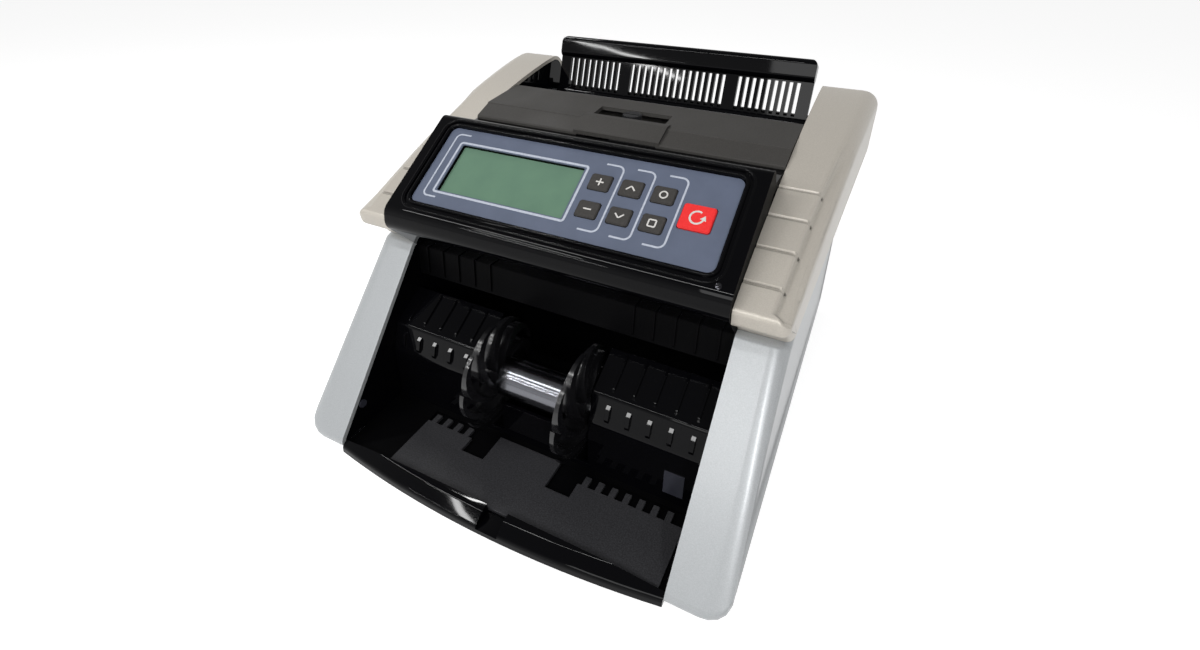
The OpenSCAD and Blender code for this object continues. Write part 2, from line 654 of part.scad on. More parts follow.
// Hopper: cover with a finger notch, gap adjuster, floor and folding backrest
cover_t = 2.5;
cover_front = shelf_end + shell_gap;
cover_crease = [back - 99, 156.5];
cover_rear = [back - 63, 160];
cover_step = 0.8;
skirt_h = 20;
cover_skirt = cover_rear[1] - skirt_h;
cover_foot = 146.5;
knob_notch = [48, 13];
tab_half = 28;
tab_h = 1.6;
tab_rear = cover_crease[0] + 5.5;
tab_cut = [tab_half - 2, 150];
module hopper_cover() {
    c = cover_crease;
    profile = rounded([
        [cover_front, cover_foot, 0], [cover_front, 151, 1.5], [c[0] - 0.6, c[1] - cover_step, 0],
        [c[0], c[1], 0], [cover_rear[0], cover_rear[1], 2], [cover_rear[0] - 4, cover_skirt, 0],
        [cover_rear[0] - 6.2, cover_skirt + 0.3, 0], [cover_rear[0] - 2.6, cover_rear[1] - cover_t, 0],
        [c[0], c[1] - cover_t, 0], [cover_front + cover_t, 149.4, 0],
        [cover_front + cover_t, cover_foot, 0]]);
    tab = [[cover_front, 150], [c[0], c[1] - 1.6], [tab_rear, c[1] - 1], [tab_rear, c[1] + tab_h - 0.4],
        [c[0] + 2, c[1] + tab_h], [c[0] - 1, c[1] + tab_h - 0.4], [cover_front + 0.8, 151.2 + tab_h],
        [cover_front, 150.6 + tab_h]];
    color(dark_grey) difference() {
        union() {
            slab_x(-inner_w / 2, inner_w / 2, moved(profile));
            slab_x(-tab_half, tab_half, moved(tab));
        }
        translate([-knob_notch[0] / 2, knob_at.x - knob_notch[1] / 2, deck_z + 150])
            cube([knob_notch[0], knob_notch[1], 20]);
        slab_x(-tab_cut[0], tab_cut[0], moved([[cover_front - 1, cover_foot - 1],
            [cover_front + cover_t + 1, cover_foot - 1], [cover_front + cover_t + 1, tab_cut[1] - 0.6],
            [cover_front - 1, tab_cut[1]]]));
    }
}
retard_r = 10;
retard_axle_r = 2.5;
retard_half = 36;
cheek_t = 2.5;
bracket_z = [147, 152.4];
retard = feed + [2, feed_r + pinch_gap + retard_r];
module retard_bracket() {
    top = deck_z + bracket_z[0];
    color(steel) difference() {
        union() {
            translate([-retard_half - cheek_t, knob_at.x - 11.5, top])
                cube([2 * (retard_half + cheek_t), 19, bracket_z[1] - bracket_z[0]]);
            both_sides() slab_x(retard_half, retard_half + cheek_t, [
                [retard.x - 6, top + 1], [retard.x - 6, retard.y - 5], [retard.x + 6, retard.y - 5],
                [retard.x + 6, top + 1]]);
        }
        rod_x(-retard_half - 9, retard_half + 9, retard_axle_r + seat_gap, retard);
        translate([0, knob_at.x, top - 1]) cylinder(h = 10, r = knob_stem_r + run_gap);
    }
}
module retard_roller() {
    color(rubber) {
        rod_x(-retard_half - cheek_t, retard_half + cheek_t, retard_axle_r, retard);
        both_sides() rod_x(roller_x[0] - roller_w / 2, roller_x[0] + roller_w / 2, retard_r, retard);
    }
}
knob_stem_r = 2.5;
knob_h = 5.6;
knurl_n = 16;
knurl_r = 0.8;
module adjusting_knob() {
    color(rubber) translate([0, knob_at.x, knob_at.y]) {
        difference() {
            cylinder(h = knob_h, r = knob_r);
            for (a = [0:360 / knurl_n:359])
                rotate(a) translate([knob_r + 0.3, 0, -1]) cylinder(h = knob_h + 2, r = knurl_r);
            translate([-knob_r, -0.6, knob_h - 1]) cube([2 * knob_r, 1.2, 2]);
        }
        translate([0, 0, -4.5]) cylinder(h = 5, r = knob_stem_r);
    }
}
floor_t = 2;
floor_rear = [back - 18, 136];
floor_front = [back - 78, 121.5];
kicker_x = 42;
module hopper_floor() {
    down = [0, -floor_t];
    color(black) difference() {
        slab_x(-inner_w / 2, inner_w / 2,
            moved([floor_front, floor_rear, floor_rear + down, floor_front + down]));
        both_sides() rod_x(kicker_x - roller_w / 2 - 1, kicker_x + roller_w / 2 + 1, kicker_r + 1, kick);
    }
}
module backrest_rod() { color(steel) rod_x(-half, half, rod_r, hinge); }
barrel_r = rod_r + 2;
bar_h = 15;
slot_first = 45.8;
slot_mid_n = 7;
slot_edge = 0.6;
plate_thick = 3;
module on_backrest() {
    translate([0, hinge.x, hinge.y]) rotate([90 - backrest_lean, 0, 0]) children();
}
module backrest() {
    side_n = floor((backrest_w / 2 - 8 - slot_first) / slot_pitch);
    slots = concat([for (i = [-slot_mid_n:slot_mid_n]) i * slot_pitch],
        [for (i = [0:side_n], s = [-1, 1]) s * (slot_first + i * slot_pitch)]);
    bar_y = [backrest_l - bar_h + bar_t / 2, backrest_l - bar_t / 2];
    low = 2 * barrel_r + backrest_r;
    color([0.05, 0.05, 0.06]) on_backrest() difference() {
        intersection() {
            union() {
                rotate([0, 90, 0]) cylinder(h = backrest_w, r = barrel_r, center = true);
                translate([-backrest_w / 2, 0, -plate_thick / 2]) cube([backrest_w, bar_y[1], plate_thick]);
                for (y = bar_y) translate([0, y, 0]) rotate([0, 90, 0])
                    cylinder(h = backrest_w, r = bar_t / 2, center = true);
                translate([-backrest_w / 2, bar_y[0], -bar_t / 2])
                    cube([backrest_w, bar_y[1] - bar_y[0], bar_t]);
            }
            translate([0, (backrest_l - low) / 2, 0])
                round_block(backrest_w, backrest_l + low, backrest_r, -bar_t, bar_t);
        }
        rotate([0, 90, 0]) cylinder(h = backrest_w + 2, r = rod_r + run_gap, center = true);
        for (x = slots) translate([x - slot_w / 2, barrel_r + slot_edge, -bar_t])
            cube([slot_w, backrest_l - bar_h - barrel_r - 2 * slot_edge, 2 * bar_t]);
    }
}

// Rear panel with vents, the mains inlet and the rocker switch
rear_t = 2.8;
rear_in = back - 6;
rear_top = 146.5;
stop_w = 4;
stop_edge = 2.5;
stop_reach = [5.2, 7.5];
stop_foot = 9;
// A point on the rear face of the upright backrest, at a distance from its hinge
function backrest_rear(u) = hinge + u * [sin(backrest_lean), cos(backrest_lean)]
    + (plate_thick / 2 + run_gap) * [cos(backrest_lean), -sin(backrest_lean)];
inlet_at = [-62, 26];
switch_at = [-22, 26];
inlet_body = [27, 19.4];
switch_body = [23, 14];
flange_rim = 2;
flange_t = 1.6;
vent_n = 11;
vent_pitch = 9;
module at_rear(place) {
    p = at(rear_in, place.y);
    translate([place.x, p.x + rear_t, p.y]) rotate([90, 0, 180]) children();
}
module rear_panel() {
    p = at(rear_in, 0);
    stop = [backrest_rear(stop_reach[0]), backrest_rear(stop_reach[1])];
    color(black) {
        difference() {
            translate([-inner_w / 2, p.x, p.y]) cube([inner_w, rear_t, rear_top]);
            at_rear(inlet_at) cube([inlet_body.x + 0.4, inlet_body.y + 0.4, 20], center = true);
            at_rear(switch_at) cube([switch_body.x + 0.4, switch_body.y + 0.4, 20], center = true);
            for (i = [0:vent_n - 1], z = [70, 108]) at_rear([(i - (vent_n - 1) / 2) * vent_pitch, z])
                round_block(3.4, 30, 1.6, -10, 10);
        }
        // Ribs that the ends of the backrest lean on
        both_sides() slab_x(backrest_w / 2 - stop_edge - stop_w, backrest_w / 2 - stop_edge,
            [stop[0], [p.x + 0.3, stop[0].y - stop_foot], [p.x + rear_t, p.y + rear_top],
             [p.x + rear_t, stop[1].y], stop[1]]);
    }
}
recess = [24, 16.5];
recess_d = 16;
pin_places = [[-7, -0.5], [7, -0.5], [0, 3.5]];
recess_cut = 5;
module power_inlet() {
    u = recess.x / 2;
    v = recess.y / 2;
    color([0.1, 0.1, 0.1]) at_rear(inlet_at) {
        difference() {
            union() {
                round_block(inlet_body.x + 2 * flange_rim, inlet_body.y + 2 * flange_rim, 2, 0, flange_t);
                translate([0, 0, -9]) cube([inlet_body.x, inlet_body.y, 18], center = true);
            }
            translate([0, 0, -recess_d + flange_t]) linear_extrude(recess_d + 1) polygon([
                [-u, -v], [u, -v], [u, v - recess_cut], [u - recess_cut, v], [recess_cut - u, v],
                [-u, v - recess_cut]]);
        }
        for (q = pin_places) translate([q.x - 1, q.y - 2, -recess_d]) cube([2, 4, recess_d - 2]);
    }
}
rocker_hole = [19.4, 10.6];
rocker_pin_r = 1.2;
rocker_depth = 4.5;
rocker_tilt = 9;
module switch_housing() {
    color([0.1, 0.1, 0.1]) at_rear(switch_at) difference() {
        union() {
            round_block(switch_body.x + 2 * flange_rim, switch_body.y + 2 * flange_rim, 2, 0, flange_t);
            translate([0, 0, -8]) cube([switch_body.x, switch_body.y, 16], center = true);
        }
        translate([0, 0, -4]) cube([rocker_hole.x, rocker_hole.y, 16], center = true);
        translate([0, 0, -rocker_depth]) rotate([90, 0, 0])
            cylinder(h = rocker_hole.y + 2.4, r = rocker_pin_r + run_gap, center = true);
    }
}
module power_rocker() {
    w = rocker_hole.y - 0.6;
    color([0.16, 0.16, 0.16]) at_rear(switch_at) translate([0, 0, -rocker_depth])
        rotate([0, -rocker_tilt, 0]) rotate([90, 0, 0]) {
            translate([0, 0, -w / 2]) linear_extrude(w)
                polygon([[-7.6, -1.8], [7.6, -1.8], [8.4, 4.9], [0, 3.4], [-8.4, 4.9]]);
            cylinder(h = rocker_hole.y + 2, r = rocker_pin_r, center = true);
        }
}

// Moving shafts and what turns on them
module shaft_rollers(c, r, places, w) {
    for (x = places) both_sides() ring_x(x - w / 2, x + w / 2, r, shaft_r + seat_gap, c);
}
flange_w = 0.8;
module pulley(x, r, c, bore) {
    ring_x(x - pulley_w / 2, x + pulley_w / 2, r, bore, c);
    for (s = [-1, 1]) ring_x(x + s * (pulley_w - flange_w) / 2 - flange_w / 2,
        x + s * (pulley_w - flange_w) / 2 + flange_w / 2, r + belt_gap + belt_t + 0.6, bore, c);
}
module impeller_shaft() { color(steel) rod_x(-bush_end, shaft_end, shaft_r, imp); }
hub_r = 10;
finger_phase = 6;
// A finger is the crescent between two circles: the inner one is larger and set to one side
finger_out = 0.52 * impeller_r;
finger_in = 0.55 * impeller_r;
finger_shift = [0.13 * impeller_r, -0.065 * impeller_r];
taper_r = 0.55 * impeller_r;
tip_half = 0.8;
module finger_wheel() {
    difference() {
        union() {
            circle(hub_r);
            for (i = [0:finger_n - 1]) rotate(finger_phase + i * 360 / finger_n)
                translate([0, impeller_r - finger_out]) difference() {
                    circle(finger_out);
                    translate(finger_shift) circle(finger_in);
                }
        }
        circle(shaft_r + seat_gap);
    }
}
module impellers() {
    w = impeller_w / 2;
    color([0.08, 0.08, 0.09]) both_sides() translate([impeller_x, imp.x, imp.y]) rotate([90, 0, 90])
        intersection() {
            translate([0, 0, -w]) linear_extrude(impeller_w) finger_wheel();
            rotate_extrude() polygon([[0, -w], [taper_r, -w], [impeller_r + 1, -tip_half],
                [impeller_r + 1, tip_half], [taper_r, w], [0, w]]);
        }
}
module impeller_sleeve() {
    w = impeller_x - impeller_w / 2 - 1;
    color([0.8, 0.8, 0.82]) ring_x(-w, w, sleeve_r, shaft_r + seat_gap, imp);
}
module impeller_pulley() { color(black) pulley(plane_b, imp_pulley_r, imp, shaft_r + seat_gap); }
module transport_shaft() { color(steel) rod_x(-bush_end, shaft_end, shaft_r, trn); }
module transport_rollers() { color(rubber) shaft_rollers(trn, transport_r, roller_x, roller_w); }
module transport_pulleys() {
    color(black) {
        pulley(plane_a, trn_feed_r, trn, shaft_r + seat_gap);
        pulley(plane_b, trn_imp_r, trn, shaft_r + seat_gap);
    }
}
module pinch_rollers() {
    reach = half + liner_t - 0.2;
    color([0.3, 0.3, 0.3]) {
        rod_x(-reach, reach, pinch_axle_r, pinch);
        for (x = roller_x) both_sides() rod_x(x - roller_w / 2, x + roller_w / 2, pinch_r, pinch);
    }
}
module feed_shaft() { color(steel) rod_x(-shaft_end, plane_a + pulley_w / 2, shaft_r, feed); }
module feed_rollers() { color(rubber) shaft_rollers(feed, feed_r, roller_x, roller_w); }
module feed_pulleys() {
    color(black) {
        pulley(-plane_a, feed_motor_r, feed, shaft_r + seat_gap);
        pulley(-plane_b, feed_kicker_r, feed, shaft_r + seat_gap);
        pulley(plane_a, feed_trn_r, feed, shaft_r + seat_gap);
    }
}
module kicker_shaft() { color(steel) rod_x(-shaft_end, bush_end, shaft_r, kick); }
kicker_step = 3;
module kicker_wheels() {
    color(rubber) difference() {
        shaft_rollers(kick, kicker_r, [kicker_x], roller_w);
        both_sides() translate([kicker_x - roller_w / 2 - 1, kick.x - kicker_r - 1, kick.y - kicker_r - 1])
            cube([roller_w + 2, 2 * kicker_r + 2, kicker_step + 1]);
    }
}
module kicker_pulley() { color(black) pulley(-plane_b, kicker_pulley_r, kick, shaft_r + seat_gap); }
motor_shaft_r = 2.5;
motor_l = 54;
module drive_motor() {
    color([0.45, 0.46, 0.48]) difference() {
        union() {
            rod_x(-half, motor_l - half, motor_r, mot);
            rod_x(motor_l - half - 1, motor_l - half + 6, 0.4 * motor_r, mot);
        }
        rod_x(-half - 1, 14 - half, motor_shaft_r + run_gap, mot);
    }
}
module motor_pulley() {
    color(steel) {
        rod_x(-plane_a - pulley_w / 2, 12 - half, motor_shaft_r, mot);
        pulley(-plane_a, motor_pulley_r, mot, motor_shaft_r - 0.5);
    }
}
module belt(x, c1, r1, c2, r2) {
    module loop(d) {
        hull() {
            translate(c1) circle(r1 + d);
            translate(c2) circle(r2 + d);
        }
    }
    translate([x - belt_w / 2, 0, 0]) rotate([90, 0, 90]) linear_extrude(belt_w) difference() {
        loop(belt_gap + belt_t);
        loop(belt_gap);
    }
}
module left_belts() {
    color(rubber) {
        belt(-plane_a, mot, motor_pulley_r, feed, feed_motor_r);
        belt(-plane_b, feed, feed_kicker_r, kick, kicker_pulley_r);
    }
}
module right_belts() {
    color(rubber) {
        belt(plane_a, feed, feed_trn_r, trn, trn_feed_r);
        belt(plane_b, trn, trn_imp_r, imp, imp_pulley_r);
    }
}
module shaft_bushes() {
    color([0.7, 0.55, 0.3]) for (c = [imp, trn, feed, kick]) both_sides()
        ring_x(half + 0.3, bush_end, bush_r, shaft_r + run_gap, c);
}

// Sheet guides above and below the note path, with ribs on the upper guide's flange
guide_t = 1.5;
lower_drop = 0.5;
upper_gap = 2.5;
path_l = sqrt(run * run - (feed_r - transport_r) * (feed_r - transport_r));
lower_start = 12;
upper_start = 16;
lower_end = path_l + 24;
upper_end = path_l + 28;
flange_top = [at(88.7, 98), at(90.3, 98)];
module lower_guide() {
    color([0.6, 0.6, 0.62]) difference() {
        slab_x(-inner_w / 2, inner_w / 2, [
            on_path(lower_start, -lower_drop), on_path(lower_end, -lower_drop),
            on_path(lower_end, -lower_drop - guide_t), on_path(lower_start, -lower_drop - guide_t)]);
        for (x = roller_x) both_sides()
            rod_x(x - roller_w / 2 - 1, x + roller_w / 2 + 1, transport_r + 1, trn);
    }
}
module upper_guide() {
    lip = on_path(upper_end, upper_gap);
    color(black) {
        difference() {
            slab_x(-inner_w / 2, inner_w / 2, [
                on_path(upper_start, upper_gap), lip, flange_top[0], flange_top[1],
                on_path(upper_end - 2.5, upper_gap + guide_t), on_path(upper_start, upper_gap + guide_t)]);
            for (x = roller_x) both_sides()
                rod_x(x - roller_w / 2 - 1, x + roller_w / 2 + 1, pinch_r + 1, pinch);
        }
        both_sides() for (i = [0:rib_n - 1]) slab_x(rib_x(i) - thin_rib_w / 2, rib_x(i) + thin_rib_w / 2,
            low_rib(mix(lip, flange_top[0], 0.05), mix(lip, flange_top[0], 0.8), 1));
    }
}
window_x = [9, 20];
window_z = [6.5, 21.5];
window_t = 0.7;
module note_sensors() {
    foot = [wall_foot, 0];
    lo = mix(foot, crease, window_z[0] / crease[1]);
    hi = mix(foot, crease, window_z[1] / crease[1]);
    color([0.55, 0.55, 0.58]) {
        both_sides() rod_x(half - 0.8, half + liner_t, sensor_r, sensor_at);
        slab_x(half - window_x[1], half - window_x[0],
            moved([lo, hi, hi - [window_t, 0], lo - [window_t, 0]]));
    }
}

// Electronics on the deck
standoff_h = 6;
main_at = [[-8, 92], [182, 250]];
module main_board() {
    w = main_at[0][1] - main_at[0][0];
    l = main_at[1][1] - main_at[1][0];
    color(board_green) translate([main_at[0][0], behind(main_at[1][0]), deck_z]) {
        translate([0, 0, standoff_h]) cube([w, l, board_t]);
        for (x = [5, w - 5], y = [5, l - 5]) translate([x, y, 0]) cylinder(h = standoff_h, r = 3);
        translate([0, 0, standoff_h + board_t]) {
            for (i = [0:2]) translate([12 + 13 * i, 16, 0]) cylinder(h = 18, r = 5);
            translate([20, 34, 0]) cube([20, 20, 2.4]);
            translate([58, 28, 0]) cube([24, 30, 12]);
            for (i = [0:2]) translate([50 + 15 * i, 8, 0]) cube([12, 7, 8]);
        }
    }
}
transformer_at = [-64, 206];
module transformer() {
    color([0.35, 0.33, 0.3]) translate([transformer_at.x, behind(transformer_at.y), deck_z]) {
        translate([-32, -13, 0]) cube([64, 26, 2]);
        translate([-26, -10, 2]) cube([52, 20, 40]);
        translate([0, 0, 22]) rotate([90, 0, 0]) round_block(32, 28, 5, -20, 20);
    }
}

base_tray();
rubber_feet();
front_lip();
stacker_plate();
stacker_backwall();
note_sensors();
left_side_panel();
right_side_panel();
left_arm_cover();
right_arm_cover();
left_liner();
right_liner();
left_side_frame();
right_side_frame();
control_pod();
panel_overlay();
lcd_window();
lcd_module();
panel_board();
key_1();
key_2();
key_3();
key_4();
key_5();
key_6();
restart_key();
hopper_cover();
adjusting_knob();
retard_bracket();
retard_roller();
hopper_floor();
backrest();
backrest_rod();
rear_panel();
power_inlet();
switch_housing();
power_rocker();
impeller_shaft();
impellers();
impeller_sleeve();
impeller_pulley();
transport_shaft();
transport_rollers();
transport_pulleys();
pinch_rollers();
feed_shaft();
feed_rollers();
feed_pulleys();
kicker_shaft();
kicker_wheels();
kicker_pulley();
drive_motor();
motor_pulley();
left_belts();
right_belts();
shaft_bushes();
lower_guide();
upper_guide();
main_board();
transformer();
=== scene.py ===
# %% [markdown]
# # A bench-top banknote counter
# The machine is already modelled as solids, with its joints. This lesson dresses it: it rounds the
# moulded edges, prints the keypad film, gives each piece the finish of the real one, and lights it.
# Everything is in metres, in the frame of the solids: X to the right, Y to the back, Z up.

# %% Load the solids
import json
import math
import bmesh
import bpy
from mathutils import Matrix, Vector


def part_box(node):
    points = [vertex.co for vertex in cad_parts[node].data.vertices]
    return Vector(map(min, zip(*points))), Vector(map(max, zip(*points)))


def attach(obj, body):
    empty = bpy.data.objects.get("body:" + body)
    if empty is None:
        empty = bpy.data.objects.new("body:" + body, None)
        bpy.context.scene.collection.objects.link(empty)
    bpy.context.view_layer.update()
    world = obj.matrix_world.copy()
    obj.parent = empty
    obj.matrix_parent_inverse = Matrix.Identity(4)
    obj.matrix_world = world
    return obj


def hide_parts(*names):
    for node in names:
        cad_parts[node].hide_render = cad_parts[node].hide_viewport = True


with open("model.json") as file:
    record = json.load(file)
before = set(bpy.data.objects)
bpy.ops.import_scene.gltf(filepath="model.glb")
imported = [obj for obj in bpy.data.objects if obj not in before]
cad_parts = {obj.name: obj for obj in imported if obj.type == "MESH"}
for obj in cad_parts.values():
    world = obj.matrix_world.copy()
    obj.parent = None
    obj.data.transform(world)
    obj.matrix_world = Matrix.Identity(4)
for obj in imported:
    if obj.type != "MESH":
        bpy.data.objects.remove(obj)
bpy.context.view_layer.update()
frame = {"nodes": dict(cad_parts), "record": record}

NODES = frame["nodes"]
MM = 0.001

# %% [markdown]
# ## The camera
# The photograph looks down on the machine from the front right. A wide lens close to the object makes
# its strong perspective, so the camera stands 30 to 40 cm away. The shift moves the frame without
# turning the camera, as the photograph's crop does.

# %% Camera
LENS_MM, SENSOR_MM = 17.12, 36.0
camera_data = bpy.data.cameras.new("photo_camera")
camera_data.sensor_width, camera_data.lens = SENSOR_MM, LENS_MM
camera_data.shift_x, camera_data.shift_y = -0.015, -0.060
camera_data.clip_start = 0.01
camera = bpy.data.objects.new("photo_camera", camera_data)
bpy.context.scene.collection.objects.link(camera)
camera.location = (0.1417, -0.2634, 0.2743)
camera.rotation_euler = Vector((-0.3708, 0.7708, -0.5182)).to_track_quat("-Z", "Y").to_euler()
bpy.context.scene.camera = camera
print("camera at", tuple(round(c, 4) for c in camera.location))

# %% [markdown]
# ## Colours and nodes
# Colours are written as sRGB hex codes, the way a paint chart or a picture editor shows them, and one
# function turns them into the linear numbers that a shader needs. One more function adds a node with its
# settings, values and links, so that a material reads as a short list of what happens to the surface.
# Every pattern reads the object's own coordinates, so it doesn't swim when a piece moves.

# %% Colours and nodes
def srgb(code):
    """A hex colour as the linear numbers that Blender uses."""
    parts = [int(code[i:i + 2], 16) / 255 for i in (1, 3, 5)]
    return (*[p / 12.92 if p <= 0.04045 else ((p + 0.055) / 1.055) ** 2.4 for p in parts], 1.0)


def add_node(tree, kind, values=None, links=None, tones=(), **settings):
    """Add a node, or take one that is there already, and give it settings, values, links and tones."""
    made = tree.nodes.new(kind) if isinstance(kind, str) else kind
    for key, value in settings.items():
        setattr(made, key, value)
    for key, value in (values or {}).items():
        made.inputs[key].default_value = value
    for key, socket in (links or {}).items():
        tree.links.new(socket, made.inputs[key])
    for stop, (place, code) in zip(made.color_ramp.elements if tones else (), tones):
        stop.position, stop.color = place, srgb(code)
    return made


def new_material(name):
    """A new material, its node tree, the object's own coordinates and the shader."""
    material = bpy.data.materials.new(name)
    material.use_nodes = True
    tree = material.node_tree
    where = add_node(tree, "ShaderNodeTexCoord").outputs["Object"]
    return material, tree, where, tree.nodes["Principled BSDF"]


print("a mid grey is", round(srgb("#808080")[0], 3))

# %% [markdown]
# ## A white table
# A product photograph is taken on white card. The card is a matt white surface that takes the shadow;
# for the camera and for reflections it also glows, so that it reads as white without more light on the
# machine. Light Path tells these rays from the ones that carry light.

# %% White card
CARD_GLOW, CARD_HALF = 0.74, 12.0
bm = bmesh.new()
bmesh.ops.create_grid(bm, x_segments=1, y_segments=1, size=CARD_HALF)
card_mesh = bpy.data.meshes.new("white_card")
bm.to_mesh(card_mesh)
bm.free()
card_sheet = bpy.data.objects.new("white_card", card_mesh)
bpy.context.scene.collection.objects.link(card_sheet)


def studio_seen(tree):
    """Whether a ray comes from the camera, and whether from the camera, a reflection or a clear piece."""
    path = add_node(tree, "ShaderNodeLightPath").outputs
    shiny = add_node(tree, "ShaderNodeMath", links={0: path["Is Camera Ray"], 1: path["Is Glossy Ray"]},
                     operation="MAXIMUM")
    seen = add_node(tree, "ShaderNodeMath", links={0: shiny.outputs[0], 1: path["Is Transmission Ray"]},
                    operation="MAXIMUM")
    return path["Is Camera Ray"], seen.outputs[0]


# Matt white card: it scatters light evenly and has no shine of its own.
card, tree, where, shader = new_material("matt_white_card")
glow = add_node(tree, "ShaderNodeMath", {1: CARD_GLOW}, {0: studio_seen(tree)[1]}, operation="MULTIPLY")
add_node(tree, shader, {"Base Color": srgb("#CFCFCF"), "Roughness": 0.95, "Specular IOR Level": 0.0,
                        "Emission Color": (1, 1, 1, 1)}, {"Emission Strength": glow.outputs[0]})
card_mesh.materials.append(card)
print("card", [round(d, 2) for d in card_sheet.dimensions])

# %% [markdown]
# ## The studio walls
# The walls are white, but dim, so they fill the shadows at a plain level. The camera still sees them as
# white, and so do polished pieces, in which the white fades towards a dark ceiling: that is what gives
# silver its shape and keeps black plastic black.

# %% Studio walls
FILL_LEVEL, CEILING_LEVEL = 0.29, 0.25
world = bpy.data.worlds.new("studio_walls")
bpy.context.scene.world = world
world.use_nodes = True
tree = world.node_tree
by_camera, seen = studio_seen(tree)
way = add_node(tree, "ShaderNodeTexCoord").outputs["Generated"]
height = add_node(tree, "ShaderNodeSeparateXYZ", links={"Vector": way}).outputs["Z"]
walls = add_node(tree, "ShaderNodeMapRange", {"From Min": 0.15, "From Max": 0.8, "To Min": 1.0,
                 "To Max": CEILING_LEVEL}, {"Value": height}).outputs["Result"]
mirrored = add_node(tree, "ShaderNodeMapRange", {"To Min": FILL_LEVEL}, {"Value": seen, "To Max": walls})
level = add_node(tree, "ShaderNodeMapRange", {"To Max": 1.0},
                 {"Value": by_camera, "To Min": mirrored.outputs["Result"]})
add_node(tree, tree.nodes["Background"], {"Color": (1, 1, 1, 1)}, {"Strength": level.outputs["Result"]})
bpy.context.scene.view_settings.view_transform = "Standard"
print("fill level", FILL_LEVEL)

# %% [markdown]
# ## The lamps
# One soft lamp in front lights the silver shells. The others are narrow, because a polished edge mirrors
# the lamp itself: a narrow lamp draws a thin, bright streak. The right strip shows in the rounded edge of
# the right shell, the front one in the backrest and the pod's lower edge, the left one in the lip and the
# sleeve, and the rear one in the crest of the lip. The tube hangs where the sloping ends of the pocket's
# ribs mirror it into the camera.

# %% Lamps
def softbox(name, place, aim, size, watts):
    """A rectangular lamp at place, turned towards aim."""
    lamp = bpy.data.lights.new(name, "AREA")
    lamp.shape, lamp.size, lamp.size_y, lamp.energy = "RECTANGLE", size[0], size[1], watts
    box = bpy.data.objects.new(name, lamp)
    bpy.context.scene.collection.objects.link(box)
    box.location = place
    box.rotation_euler = (Vector(aim) - Vector(place)).to_track_quat("-Z", "Y").to_euler()
    return box


softbox("key_box", (0.02, -1.00, 0.80), (0, 0, 0.08), (0.40, 0.40), 2.9)
softbox("right_strip", (0.64, -0.85, 0.65), (0.1, 0, 0.08), (0.05, 0.30), 3.8)
softbox("front_strip", (-0.60, -0.94, 0.690), (0, 0, 0.12), (0.40, 0.008), 1.0)
softbox("left_strip", (-0.57, -0.72, 0.82), (0, 0, 0.08), (0.30, 0.018), 1.0)
softbox("rear_strip", (-0.47, 0.30, 0.85), (0, 0, 0.08), (0.18, 0.014), 0.8)
softbox("tube", (-0.50, -0.481, 0.967), (-0.50, -0.075, 0.053), (0.90, 0.030), 3.6)

# %% [markdown]
# ## Silver lacquer
# The shells are moulded ABS sprayed with a silver lacquer under a thin clear coat. Fine aluminium flakes
# give it a soft sheen and a slight grain. An ambient occlusion node, which measures how shut in a point
# is, darkens the colour in narrow grooves: that is painted shade. The arms get a little warmer silver
# than the side panels.

# %% Silver lacquer
GROOVE_MM = 2.0
FLAKE_MM = 0.5  # a real flake is about 0.05 mm; drawn coarser, so that its grain shows


def silver_lacquer(name, dark, light):
    """Sprayed lacquer: a soft sheen that fades slowly, a faint grain, glints on the edges, and painted
    shade in its grooves.
    """
    made, tree, where, shader = new_material(name)
    flakes = add_node(tree, "ShaderNodeTexNoise", {"Scale": 1 / (FLAKE_MM * MM), "Detail": 2.0},
                      {"Vector": where})
    tone = add_node(tree, "ShaderNodeValToRGB", links={"Fac": flakes.outputs["Fac"]},
                    tones=[(0.3, dark), (0.7, light)])
    # Painted shade: where ambient occlusion finds the surface shut in, as in the grooves, the colour is
    # darkened.
    open_sky = add_node(tree, "ShaderNodeAmbientOcclusion", {"Distance": GROOVE_MM * MM}, samples=8,
                        only_local=True)
    painted_groove_shade = add_node(tree, "ShaderNodeMapRange",
                    {"From Min": 0.6, "From Max": 0.97, "To Min": 0.05, "To Max": 1.0},
                    {"Value": open_sky.outputs["AO"]})
    paint = add_node(tree, "ShaderNodeMix", {0: 1.0}, {6: tone.outputs["Color"], 7: painted_groove_shade.outputs["Result"]},
                     data_type="RGBA", blend_type="MULTIPLY")
    skin = add_node(tree, "ShaderNodeBump", {"Strength": 0.1, "Distance": 0.02 * MM},
                    {"Height": flakes.outputs["Fac"]})
    add_node(tree, shader, {"Metallic": 0.22, "Roughness": 0.36, "Specular IOR Level": 0.2,
                            "Coat Weight": 0.2, "Coat Roughness": 0.16},
             {"Base Color": paint.outputs[2], "Normal": skin.outputs["Normal"]})
    return made


warm_silver = silver_lacquer("warm_silver_lacquer", "#BBB5AB", "#C7C1B7")
# The side panels get a cooler, darker silver than the arms.
cool_silver = silver_lacquer("cool_silver_lacquer", "#A6A9AB", "#B2B5B7")
print("made", warm_silver.name, cool_silver.name)

# %% [markdown]
# ## Polished black plastic
# The pod, the lip, the pocket and the backrest are black ABS from a polished mould. Its colour is almost
# nothing: what the eye sees is the mirrored lamps. Faint smudges soften the streaks here and there, and
# the slight waviness of a thin wall bends them.

# %% Polished black ABS
SMUDGE_MM, WAVE_MM = 30.0, 14.0
